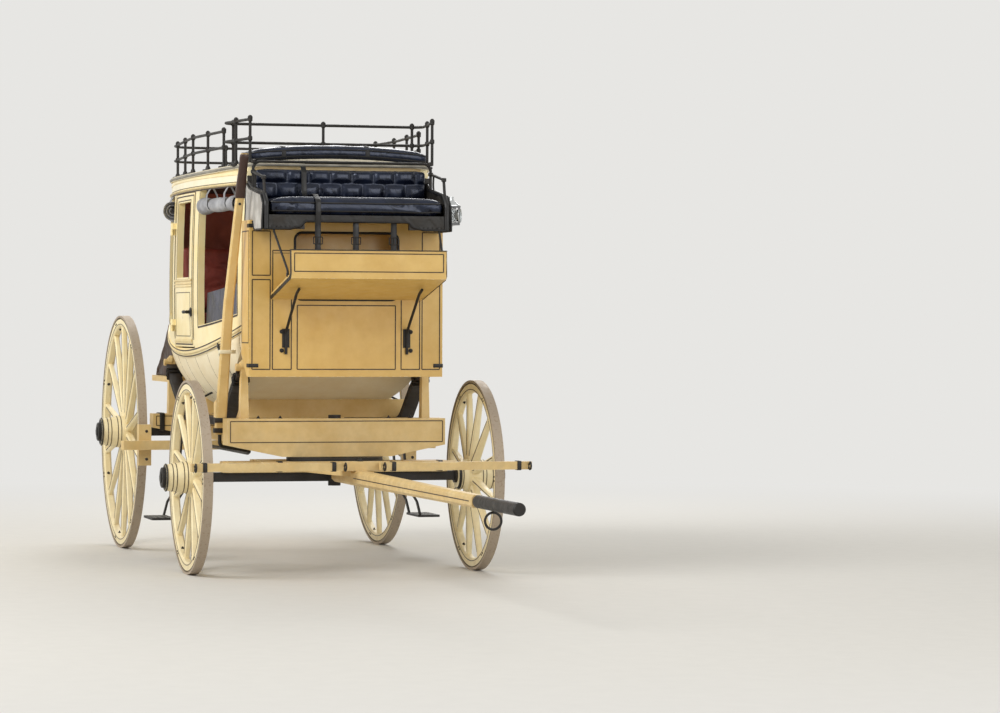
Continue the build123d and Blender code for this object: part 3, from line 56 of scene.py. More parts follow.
AHEAD, ACROSS, UP = Vector((1.0, 0.0, 0.0)), Vector((0.0, 1.0, 0.0)), Vector((0.0, 0.0, 1.0))
SIDES = (-1.0, 1.0)

# All sizes are in metres. Stations count forward from the front axle, heights from the ground.
AXLE_X = -0.3475
BODY_MIDDLE, BODY_FRONT, BODY_BACK = -1.055, 0.070, -2.175
PLAN_RADIUS, BELT = 4.93279, 0.643
WALL = 0.036
LETTER_LOW, LETTER_TOP = 2.085, 2.160
QUARTERS = ((-0.664, -0.026), (-2.079, -1.480))
QUARTER_RADIUS = 6.9243
BRACE_Y, BRACE_WIDE, BRACE_THICK = 0.500, 0.074, 0.042
SEAT_HALF = 0.500
# Painted lines are thin skins that stand this far off what they are painted on.
PAINT = 0.0012


class Body(str, Enum):
    """Moving bodies that pieces ride on."""

    COACH = "coach"
    FORE = "fore_carriage"
    DOOR_LEFT = "door_left"
    DOOR_RIGHT = "door_right"
    WHEEL_FRONT_LEFT = "wheel_front_left"
    WHEEL_FRONT_RIGHT = "wheel_front_right"
    WHEEL_REAR_LEFT = "wheel_rear_left"
    WHEEL_REAR_RIGHT = "wheel_rear_right"


def at(x: float) -> float:
    """Station as an x of the frame."""
    return AXLE_X + x


def mark(x: float, y: float, z: float) -> Vector:
    """Point at a station, a distance to the coach's left and a height."""
    return Vector((at(x), y, z))


def shift(x: float = 0.0, y: float = 0.0, z: float = 0.0) -> Vector:
    """Move along the frame's axes."""
    return Vector((x, y, z))


def word(side: float) -> str:
    """Word for a side in the names of pieces."""
    return "left" if side > 0 else "right"


def steps_between(a: float, b: float, count: int) -> list[float]:
    """Numbers from a to b, with a count of even intervals between them."""
    return [a + (b - a) * i / count for i in range(count + 1)]


def turns(count: int) -> list[float]:
    """Angles spread evenly round a circle."""
    return [math.tau * k / count for k in range(count)]


def squared(turn: float, power: float) -> Flat:
    """Point of a circle that is drawn out towards a square."""
    return tuple(math.copysign(abs(c) ** power, c) for c in (math.cos(turn), math.sin(turn)))


def linear(code: str) -> tuple[float, ...]:
    """Linear red, green, blue and an alpha of 1 from an sRGB hex colour."""
    parts = [int(code[i : i + 2], 16) / 255.0 for i in (1, 3, 5)]
    return (*(c / 12.92 if c <= 0.04045 else ((c + 0.055) / 1.055) ** 2.4 for c in parts), 1.0)


def feed(tree: Tree, node: Node, **inputs: object) -> Node:
    """Set or link the inputs of a node.

    Args:
        tree: Node tree of the material.
        node: The node.
        **inputs: Values by socket name, with _ for a space, or iN for the Nth socket. A node stands for
            its first open output, and text is a hex colour.

    Returns:
        The same node.
    """
    for key, value in inputs.items():
        numbered = key[0] == "i" and key[1:].isdigit()
        socket = node.inputs[int(key[1:])] if numbered else node.inputs[key.replace("_", " ")]
        if isinstance(value, bpy.types.Node):
            value = next(out for out in value.outputs if out.enabled)
        if isinstance(value, bpy.types.NodeSocket):
            tree.links.new(value, socket)
        else:
            socket.default_value = linear(value) if isinstance(value, str) else value
    return node


def put(tree: Tree, kind: str, **settings: object) -> Node:
    """Add one shader node with its settings and links.

    Args:
        tree: Node tree of the material.
        kind: Node type without its ShaderNode prefix.
        **settings: Attributes of the node in small letters, such as its operation, and inputs as feed takes them.

    Returns:
        The new node.
    """
    node = tree.nodes.new("ShaderNode" + kind)
    for key in [key for key in settings if hasattr(node, key)]:
        setattr(node, key, settings.pop(key))
    return feed(tree, node, **settings)


class Grain(Enum):
    """Direction in which a pattern is drawn out."""

    EVEN = (1.0, 1.0, 1.0)
    ALONG_X = (0.06, 1.0, 1.0)
    ALONG_Y = (1.0, 0.06, 1.0)
    ALONG_Z = (1.0, 1.0, 0.06)


class Lined(Enum):
    """Which inner faces of a panel carry the cabin's cloth, by the axis that they face."""

    NONE = -1
    ACROSS = 1
    ENDS = 0


@dataclass(frozen=True)
class Finish:
    """What a surface is made of: colours, gloss, a slot name and the node tree of a plain finish."""

    name: str
    colour: str
    second: str
    roughness: float = 0.5
    metallic: float = 0.0
    coat: float = 0.0
    coat_roughness: float = 0.2
    ior: float = 1.5
    # Tint of the surface's reflections: white leaves them plain, a blue one is a painted reflection of the sky.
    painted_sky_tint: str = "#FFFFFF"
    slot: str = "yellow_paint"

    def made(self) -> bpy.types.Material:
        """The material, built once and then reused.

        Returns:
            The Blender material of this finish.
        """
        material = bpy.data.materials.get(self.name)
        if material is None:
            material = bpy.data.materials.new(self.name)
            material.use_nodes = True
            material.diffuse_color = linear(self.colour)
            tree = material.node_tree
            shader = feed(tree, tree.nodes["Principled BSDF"], Base_Color=self.colour, Metallic=self.metallic,
                          Roughness=self.roughness, Coat_Weight=self.coat, Coat_Roughness=self.coat_roughness,
                          Specular_Tint=self.painted_sky_tint)
            if not self.metallic:
                feed(tree, shader, IOR=self.ior)
            self.pattern(tree, shader, put(tree, "TexCoord").outputs["Object"])
        return material

    def pattern(self, tree: Tree, shader: Node, where: bpy.types.NodeSocket) -> None:
        """Lay this finish's pattern; here, soft patches of the second colour."""
        patch = put(tree, "TexNoise", Vector=where, Scale=9.0, Detail=5.0)
        feed(tree, shader, Base_Color=put(tree, "Mix", data_type="RGBA", i0=patch, i6=self.colour, i7=self.second))


@dataclass(frozen=True)
class CoachPaint(Finish):
    """Oil paint brushed on ash boards and varnished, rubbed pale on its edges and dusty low down.

    Brush marks are 1.5 mm apart on a real coach, drawn here 5 mm apart so that they show.
    """

    worn: str = "#F2E6C2"
    dust: str = "#8E7A58"
    dust_top: float = 1.1
    dust_share: float = 0.35
    brush: Grain = Grain.ALONG_X
    lined: Lined = Lined.NONE

    def pattern(self, tree: Tree, shader: Node, where: bpy.types.NodeSocket) -> None:
        """Brush marks, faded patches, rubbed edges, dust and the cloth lining inside.

        Args:
            tree: Node tree of the material.
            shader: Its Principled shader.
            where: Place on the object, in metres.
        """
        # Faded patches a hand wide.
        fade = put(tree, "TexNoise", Vector=where, Scale=7.0, Detail=6.0, Roughness=0.62)
        tone = put(tree, "MapRange", Value=fade, i1=0.35, i2=0.72)
        base = put(tree, "Mix", data_type="RGBA", i0=tone, i6=self.colour, i7=self.second)
        # Brush marks run along the boards.
        drawn = put(tree, "Mapping", Vector=where, Scale=self.brush.value)
        marks = put(tree, "TexNoise", Vector=drawn, Scale=200.0, Detail=3.0)
        # Rubbed edges: where a rounded normal departs from the real one.
        soft = put(tree, "Bevel", samples=4, Radius=0.005)
        bend = put(tree, "VectorMath", operation="DOT_PRODUCT", i0=soft, i1=put(tree, "NewGeometry").outputs["Normal"])
        edge = put(tree, "MapRange", Value=bend, i1=0.985, i2=0.86)
        chips = put(tree, "TexNoise", Vector=where, Scale=55.0, Detail=4.0)
        chip = put(tree, "MapRange", Value=chips, i1=0.5, i2=0.6)
        rub = put(tree, "Math", operation="MULTIPLY", i0=edge, i1=chip)
        rubbed = put(tree, "Mix", data_type="RGBA", i0=rub, i6=base, i7=self.worn)
        # Road dust thins out with height.
        axes = put(tree, "SeparateXYZ", Vector=where)
        low = put(tree, "MapRange", Value=axes.outputs["Z"], i1=self.dust_top, i2=0.1, i3=0.0, i4=self.dust_share)
        cloud = put(tree, "TexNoise", Vector=where, Scale=16.0, Detail=7.0, Roughness=0.7)
        haze = put(tree, "MapRange", Value=cloud, i1=0.3, i2=0.62, i3=0.3, i4=1.4)
        dusty = put(tree, "Math", operation="MULTIPLY", use_clamp=True, i0=low, i1=haze)
        colour = put(tree, "Mix", data_type="RGBA", i0=dusty, i6=rubbed, i7=self.dust)
        if self.lined is not Lined.NONE:
            # Inner faces look towards the cabin's middle, and those carry cloth.
            normal = put(tree, "SeparateXYZ", Vector=put(tree, "TexCoord").outputs["Normal"])
            middle = 0.0 if self.lined is Lined.ACROSS else -1.4
            off = put(tree, "Math", operation="SUBTRACT", i0=axes.outputs[self.lined.value], i1=middle)
            sign = put(tree, "Math", operation="SIGN", i0=off)
            turn = put(tree, "Math", operation="MULTIPLY", i0=sign, i1=normal.outputs[self.lined.value])
            inside = put(tree, "Math", operation="LESS_THAN", i0=turn, i1=-0.7)
            pile = put(tree, "TexNoise", Vector=where, Scale=420.0, Detail=2.0)
            cloth = put(tree, "Mix", data_type="RGBA", i0=pile, i6="#4A1512", i7="#2E0C0B")
            colour = put(tree, "Mix", data_type="RGBA", i0=inside, i6=colour, i7=cloth)
        gloss = put(tree, "MapRange", Value=cloud, i1=0.3, i2=0.7, i3=self.roughness - 0.1, i4=self.roughness + 0.16)
        feed(tree, shader, Base_Color=colour, Roughness=gloss,
             Normal=put(tree, "Bump", Strength=0.35, Distance=0.0006, Height=marks))


@dataclass(frozen=True)
class ForgedIron(Finish):
    """Hand-forged iron painted black: hammer flats about 12 mm wide, dull where the paint is dusty or rusted."""

    slot: str = "iron"
    rust: str = "#4B2E1C"
    rust_share: float = 0.25

    def pattern(self, tree: Tree, shader: Node, where: bpy.types.NodeSocket) -> None:
        """Hammer flats, dusty bloom and small rusty flecks.

        Args:
            tree: Node tree of the material.
            shader: Its Principled shader.
            where: Place on the object, in metres.
        """
        flats = put(tree, "TexVoronoi", feature="SMOOTH_F1", Vector=where, Scale=80.0)
        bloom = put(tree, "TexNoise", Vector=where, Scale=22.0, Detail=6.0, Roughness=0.68)
        tone = put(tree, "Mix", data_type="RGBA", i0=bloom, i6=self.colour, i7=self.second)
        fleck = put(tree, "TexNoise", Vector=where, Scale=90.0, Detail=5.0)
        rusty = put(tree, "MapRange", Value=fleck, i1=0.56, i2=0.68, i3=0.0, i4=self.rust_share)
        gloss = put(tree, "MapRange", Value=bloom, i1=0.3, i2=0.7, i3=self.roughness - 0.12, i4=self.roughness + 0.18)
        feed(tree, shader, Base_Color=put(tree, "Mix", data_type="RGBA", i0=rusty, i6=tone, i7=self.rust),
             Roughness=gloss, Normal=put(tree, "Bump", Strength=0.3, Distance=0.0015, Height=flats))


@dataclass(frozen=True)
class Leather(Finish):
    """Tanned hide: pebble grain about 1 mm across, drawn 3 mm so that it shows, with long soft creases."""

    slot: str = "black_leather"
    crease: float = 0.5
    crease_depth: float = 0.004

    def pattern(self, tree: Tree, shader: Node, where: bpy.types.NodeSocket) -> None:
        """Pebble grain, creases and rubbed lighter patches.

        Args:
            tree: Node tree of the material.
            shader: Its Principled shader.
            where: Place on the object, in metres.
        """
        warp = put(tree, "TexNoise", Vector=where, Scale=11.0, Detail=4.0)
        folds = put(tree, "TexWave", wave_type="BANDS", bands_direction="DIAGONAL", Vector=where, Scale=5.0,
                    Distortion=14.0, Detail=4.0, Detail_Scale=1.4)
        pebble = put(tree, "TexVoronoi", feature="SMOOTH_F1", Vector=where, Scale=330.0)
        rub = put(tree, "MapRange", Value=warp, i1=0.4, i2=0.75)
        gloss = put(tree, "MapRange", Value=warp, i1=0.3, i2=0.7, i3=max(self.roughness - 0.1, 0.05),
                    i4=self.roughness + 0.14)
        fine = put(tree, "Bump", Strength=0.3, Distance=0.0006, Height=pebble)
        deep = put(tree, "Bump", Strength=self.crease, Distance=self.crease_depth, Height=folds.outputs["Fac"],
                   Normal=fine)
        feed(tree, shader, Base_Color=put(tree, "Mix", data_type="RGBA", i0=rub, i6=self.colour, i7=self.second),
             Roughness=gloss, Normal=deep)


@dataclass(frozen=True)
class PaintedCanvas(Finish):
    """Cotton duck bedded in oil paint: 1 mm threads drawn 4 mm apart, weathered and rain-streaked."""

    thread: float = 250.0
    stain: str = "#9C9078"

    def pattern(self, tree: Tree, shader: Node, where: bpy.types.NodeSocket) -> None:
        """Crossed threads, stains and chalky patches.

        Args:
            tree: Node tree of the material.
            shader: Its Principled shader.
            where: Place on the object, in metres.
        """
        warp, weft = (put(tree, "TexWave", bands_direction=way, Vector=where, Scale=self.thread / 6.28, Distortion=0.6)
                      .outputs["Fac"] for way in "XY")
        weave = put(tree, "Math", operation="MAXIMUM", i0=warp, i1=weft)
        cloud = put(tree, "TexNoise", Vector=where, Scale=5.0, Detail=8.0, Roughness=0.66)
        tone = put(tree, "Mix", data_type="RGBA", i0=cloud, i6=self.colour, i7=self.second)
        spots = put(tree, "TexNoise", Vector=where, Scale=26.0, Detail=5.0)
        dirt = put(tree, "MapRange", Value=spots, i1=0.58, i2=0.72, i3=0.0, i4=0.6)
        feed(tree, shader, Base_Color=put(tree, "Mix", data_type="RGBA", i0=dirt, i6=tone, i7=self.stain),
             Normal=put(tree, "Bump", Strength=0.35, Distance=0.0005, Height=weave))


@dataclass(frozen=True)
class StainedWood(Finish):
    """Planed board with rings drawn 14 mm apart, under a thin brown stain."""

    grain: Grain = Grain.ALONG_Y

    def pattern(self, tree: Tree, shader: Node, where: bpy.types.NodeSocket) -> None:
        """Drawn-out rings and pores.

        Args:
            tree: Node tree of the material.
            shader: Its Principled shader.
            where: Place on the object, in metres.
        """
        drawn = put(tree, "Mapping", Vector=where, Scale=self.grain.value)
        rings = put(tree, "TexNoise", Vector=drawn, Scale=70.0, Detail=6.0, Distortion=0.6)
        feed(tree, shader, Base_Color=put(tree, "Mix", data_type="RGBA", i0=rings, i6=self.colour, i7=self.second),
             Normal=put(tree, "Bump", Strength=0.4, Distance=0.0008, Height=rings))


@dataclass(frozen=True)
class LampGlass(Finish):
    """Thin drawn glass of a lamp: clear, with faint waves 20 mm apart."""

    slot: str = "lamp_glass"

    def pattern(self, tree: Tree, shader: Node, where: bpy.types.NodeSocket) -> None:
        """Clear body with faint waves.

        Args:
            tree: Node tree of the material.
            shader: Its Principled shader.
            where: Place on the object, in metres.
        """
        waves = put(tree, "TexNoise", Vector=where, Scale=50.0)
        feed(tree, shader, Transmission_Weight=0.9,
             Normal=put(tree, "Bump", Strength=0.25, Distance=0.0004, Height=waves))


class Palette:
    """Every finish on the coach, by the name of what it really is and of the light painted into some of them."""

    # The sides' straw paint, lightened to a pale cream: painted sunlight. The boot carries a darker copy of the same
    # paint.
    SIDE = CoachPaint("straw_side_panel_painted_sunlit", "#FAE9B4", "#F3DC9C", 0.36, coat=0.3, coat_roughness=0.22,
                      lined=Lined.ACROSS)
    ENDS = CoachPaint("straw_end_panel", "#E6C887", "#DAB76E", 0.38, coat=0.25, coat_roughness=0.25,
                      lined=Lined.ENDS)
    # The same straw paint darkened to a golden tan: painted shade of the driver's seat over the boot and the footboard.
    BOOT = CoachPaint("straw_boot_panel_painted_shade", "#DDB768", "#D0A654", 0.4, coat=0.2, coat_roughness=0.3)
    LETTER = CoachPaint("cream_letterboard", "#F9F0D2", "#F2E6C0", 0.4, coat=0.25, coat_roughness=0.25)
    BELLY = CoachPaint("dusty_belly_paint", "#F6EACB", "#EEDDB6", 0.55, dust_top=1.30, dust_share=0.45,
                       dust="#DDCFB2")
    RUNNING = CoachPaint("straw_running_gear_paint", "#E8CB8E", "#DBB873", 0.48, dust_top=0.95, dust_share=0.6,
                         dust="#A08C6C")
    SPOKES = CoachPaint("straw_wheel_paint", "#FBEEC4", "#F2DEA8", 0.48, dust_top=1.5, dust_share=0.35,
                        dust="#C6B595", brush=Grain.EVEN)
    STRIPE = CoachPaint("dark_umber_striping", "#2B1F16", "#3A2B1E", 0.5, worn="#6E5A3C", dust_share=0.2)
    BEAD = CoachPaint("umber_edged_moulding", "#E8D4A0", "#DCC384", 0.4, worn="#F0E2B8")
    SEAM = CoachPaint("dust_filled_seam", "#8A7450", "#7A6544", 0.7, dust_share=0.2, slot="belly_paint")
    CREAM = CoachPaint("cream_clip_paint", "#EFE6C8", "#E2D6B2", 0.45)
    IRON = ForgedIron("forged_black_iron", "#141311", "#2A2723", 0.5, metallic=0.2)
    TYRE = ForgedIron("road_worn_tyre_iron", "#A09180", "#BCAD98", 0.58, metallic=0.3, rust="#7A5E44",
                      rust_share=0.4)
    BRIGHT = ForgedIron("tinned_iron", "#8C8A84", "#A9A69C", 0.38, metallic=0.85, rust_share=0.1)
    # Navy-black hide whose reflections are tinted blue: painted reflection of a blue sky on the enamel.
    GLOSS_HIDE = Leather("black_enamelled_leather_painted_sky_sheen", "#080C19", "#111A2E", 0.27, coat=0.3, coat_roughness=0.15,
                         crease=0.35, painted_sky_tint="#BAC6E6")
    GREY_HIDE = Leather("weathered_grey_leather", "#86868A", "#B9BABC", 0.5, crease=0.6, crease_depth=0.005,
                        slot="curtain_leather")
    # Grey apron leather made lighter than the curtains' grey so that the aprons' shaded faces look sunlit: painted
    # sunlight.
    APRON = Leather("grey_apron_leather_painted_sunlit", "#A19E98", "#CECBC4", 0.5, crease=0.6, crease_depth=0.005)
    BRACE_HIDE = Leather("greased_strap_leather", "#1C1612", "#2E251E", 0.5, crease=0.2, slot="brace_leather")
    BOOT_HIDE = Leather("dry_brown_boot_leather", "#3A2A1F", "#57443A", 0.6, crease=0.6, crease_depth=0.006,
                        slot="boot_leather")
    BINDING = Leather("black_binding_leather", "#0E0D0D", "#1B1918", 0.42, crease=0.15)
    LINING = Leather("quilted_grey_lining_leather", "#3F4048", "#5E5F6C", 0.5, slot="curtain_leather")
    SEAT_HIDE = Leather("dull_black_seat_leather", "#17140F", "#2A241D", 0.5, crease=0.45)
    GREY_EDGE = Leather("painted_roof_welt", "#7E7A70", "#A39F93", 0.6, crease=0.2, slot="roof_canvas")
    CLOTH = Leather("maroon_bench_leather", "#6A2418", "#7E3022", 0.5, crease=0.4, slot="lining_cloth")
    WALL_HIDE = Leather("maroon_wall_leather", "#8A3E2A", "#9C4C36", 0.55, crease=0.3, slot="lining_cloth")
    ROOF = PaintedCanvas("weathered_roof_canvas", "#CFC5AB", "#E4DCC6", 0.75)
    BENCH = StainedWood("stained_bench_pine", "#4E3320", "#34210F", 0.5)
    GRIP = StainedWood("worn_walnut_grip", "#2C1A12", "#46291A", 0.4, coat=0.2, grain=Grain.ALONG_Z)
    NICKEL = Finish("plated_lamp_trim", "#B9BCBD", "#D2D4D4", 0.24, metallic=0.9, slot="lamp_metal")
    JAPAN = Finish("black_japanned_tin", "#0C0C0D", "#16161A", 0.25, coat=0.6, slot="lamp_metal")
    REFLECTOR = Finish("silvered_reflector", "#C9CBCB", "#E0E2E2", 0.12, metallic=1.0, slot="lamp_metal")
    GLASS = LampGlass("drawn_lamp_glass", "#E8EEEE", "#E8EEEE", 0.05)


def dress(finish: Finish, *nodes: str) -> None:
    """Give CAD nodes their finish.

    Args:
        finish: The finish that they show.
        *nodes: Names of the nodes.
    """
    for node in nodes:
        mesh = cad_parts[node].data
        mesh.materials.clear()
        mesh.materials.append(finish.made())
        log.info("node %s finished as %s", node, finish.name)


def place(piece: Thing, finish: Finish, body: Body = Body.COACH) -> Thing:
    """Finish a new piece and let it ride on its body.

    Args:
        piece: The object.
        finish: Its finish.
        body: Body that it moves with.

    Returns:
        The same object.
    """
    piece.data.materials.clear()
    piece.data.materials.append(finish.made())
    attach(piece, body.value)
    log.info("piece %s: %d faces, rides on %s", piece.name, len(piece.data.polygons), body.value)
    return piece


def arc_half(radius: float, half: float) -> float:
    """Depth of an arc over a half chord."""
    return radius - math.sqrt(radius**2 - half**2)


def gained(radius: float, x: float) -> float:
    """Depth of a low arc about the body's middle at a station."""
    return arc_half(radius, abs(x - BODY_MIDDLE))


def circle_through(a: Flat, b: Flat, c: Flat) -> tuple[float, float, float]:
    """Centre and radius of the circle through three points.

    Args:
        a: First point.
        b: Second point.
        c: Third point.

    Returns:
        Centre's two numbers and the radius.
    """
    d = 2.0 * (a[0] * (b[1] - c[1]) + b[0] * (c[1] - a[1]) + c[0] * (a[1] - b[1]))
    sq = [p[0] ** 2 + p[1] ** 2 for p in (a, b, c)]
    x = (sq[0] * (b[1] - c[1]) + sq[1] * (c[1] - a[1]) + sq[2] * (a[1] - b[1])) / d
    y = (sq[0] * (c[0] - b[0]) + sq[1] * (a[0] - c[0]) + sq[2] * (b[0] - a[0])) / d
    return x, y, math.dist((x, y), a)


def swell(z: float) -> float:
    """Station of the rear panel's swelled outside at a height."""
    x, y, radius = circle_through((BODY_BACK, 2.22), (BODY_BACK - 0.075, 1.44), (BODY_BACK, 1.19))
    return x - math.sqrt(radius**2 - (z - y) ** 2)


@dataclass(frozen=True)
class ShellFace:
    """Outside of the body's side, bowed in plan and in height, as the source turns it."""

    side: float
    upper: tuple[Flat, Flat, Flat] = ((0.621, 2.220), (BELT, 1.500), (0.638, 1.235))
    under: tuple[Flat, Flat, Flat] = ((0.638, 1.235), (0.572, 1.050), (0.340, 0.850))

    def spot(self, x: float, z: float, lift: float = 0.0) -> Vector:
        """Point on the surface at a station and a height.

        Args:
            x: Station.
            z: Height.
            lift: Distance off the surface.

        Returns:
            The point in the frame.
        """
        across, level, bow = circle_through(*(self.upper if z >= self.upper[2][1] else self.under))
        half = across + math.sqrt(max(bow**2 - (z - level) ** 2, 0.0))
        far = PLAN_RADIUS - BELT
        return mark(x, self.side * (math.sqrt((far + half + lift) ** 2 - (x - BODY_MIDDLE) ** 2) - far), z)


@dataclass(frozen=True)
class FlatFace:
    """A flat surface with two directions on it."""

    origin: Point
    across: Vector = ACROSS
    up: Vector = UP

    def spot(self, u: float, v: float, lift: float = 0.0) -> Vector:
        """Point at a distance along each direction, and off the surface."""
        return Vector(self.origin) + u * self.across + v * self.up + lift * self.across.cross(self.up).normalized()


def front_face(x: float) -> FlatFace:
    """Upright surface across the coach that faces forward, at a station."""
    return FlatFace((at(x), 0.0, 0.0))


def rear_face(x: float) -> FlatFace:
    """Upright surface across the coach that faces back, at a station."""
    return FlatFace((at(x), 0.0, 0.0), -ACROSS)


Face = ShellFace | FlatFace


def frame_line(box: Box, step: float = 0.06) -> list[list[Flat]]:
    """The four sides of a rectangle on a surface, each cut into short runs.

    Args:
        box: Low and high bounds along the surface's first direction, then along its second.
        step: Longest run.

    Returns:
        Four lines.
    """
    u0, u1, v0, v1 = box
    us = steps_between(u0, u1, max(int((u1 - u0) / step), 1))
    vs = steps_between(v0, v1, max(int((v1 - v0) / step), 1))
    return [[(u, v0) for u in us], [(u, v1) for u in us], [(u0, v) for v in vs], [(u1, v) for v in vs]]


def mirrored(side: float, box: Box) -> Box:
    """Rectangle with its first two bounds taken to a side."""
    return (*sorted((side * box[0], side * box[1])), box[2], box[3])


def rounded_box(box: Box, corner: float, bits: int) -> list[Flat]:
    """Closed outline of a rectangle whose corners are arcs.

    Args:
        box: Low and high bounds along the first direction, then along the second.
        corner: Radius of the arcs.
        bits: Runs on each arc.

    Returns:
        Points of the outline.
    """
    a0, a1, b0, b1 = box
    line = []
    for a, b, start in ((a1 - corner, b1 - corner, 0.0), (a0 + corner, b1 - corner, 0.25),
                        (a0 + corner, b0 + corner, 0.5), (a1 - corner, b0 + corner, 0.75)):
        for i in range(bits + 1):
            turn = math.tau * (start + 0.25 * i / bits)
            line.append((a + corner * math.cos(turn), b + corner * math.sin(turn)))
    return line


def painted_section(height: float) -> tuple[Flat, ...]:
    """Section of a painted line, as shares of its half width and lifts."""
    return (-1, -0.001), (-1, height), (1, height), (1, -0.001)


def headings(route: Sequence[Vector]) -> list[Vector]:
    """Direction of a route at each of its points."""
    last = len(route) - 1
    return [(route[min(i + 1, last)] - route[max(i - 1, 0)]).normalized() for i in range(last + 1)]


def rounded_route(corners: Sequence[Vector], radius: float, bits: int = 8) -> list[Vector]:
    """Points along straight runs whose corners are turned by arcs.

    Args:
        corners: Points where the runs meet.
        radius: Radius of every arc, cut down where the runs are short.
        bits: Points on each arc.

    Returns:
        Points of the whole line.
    """
    route = [corners[0].copy()]
    for before, here, after in zip(corners, corners[1:], corners[2:]):
        back, ahead = (before - here), (after - here)
        angle = back.angle(ahead)
        if math.pi - angle < 1e-3:
            route.append(here.copy())
            continue
        reach = min(radius / math.tan(angle / 2), back.length * 0.49, ahead.length * 0.49)
        true = reach * math.tan(angle / 2)
        middle = here + (back.normalized() + ahead.normalized()).normalized() * (true / math.sin(angle / 2))
        first = (here + back.normalized() * reach - middle).normalized()
        last = (here + ahead.normalized() * reach - middle).normalized()
        for i in range(bits + 1):
            route.append(middle + first.slerp(last, i / bits).normalized() * true)
    route.append(corners[-1].copy())
    return route


def eased_ring(middle: Vector, a: Vector, b: Vector) -> list[Vector]:
    """Rectangle with cut corners, for clips and buckles.

    Args:
        middle: Its middle.
        a: Half of one side.
        b: Half of the other side.

    Returns:
        Points of the closed outline.
    """
    ring = [middle - a - b, middle + a - b, middle + a + b, middle - a + b]
    line = []
    for before, spot, after in zip(ring[-1:] + ring, ring, ring[1:] + ring):
        line += [spot.lerp(before, 0.08), spot.lerp(before, 0.02).lerp(after, 0.02), spot.lerp(after, 0.08)]
    return line


def on_skin(piece: Thing, line: Sequence[Vector], sink: float) -> list[Vector]:
    """Move a line's points onto the skin of a piece.

    Args:
        piece: The piece.
        line: Points near its skin.
        sink: How far under the skin they end.

    Returns:
        Points on the skin.
    """
    laid = []
    for spot in line:
        _, hit, normal, _ = piece.closest_point_on_mesh(spot)
        laid.append(hit - normal * sink)
    return laid


def distinct(line: Sequence[Vector], gap: float) -> list[Vector]:
    """Closed line without points that lie closer together than a gap."""
    kept = [p for i, p in enumerate(line) if i == 0 or (p - line[i - 1]).length > gap]
    return kept[:-1] if (kept[0] - kept[-1]).length < gap else kept


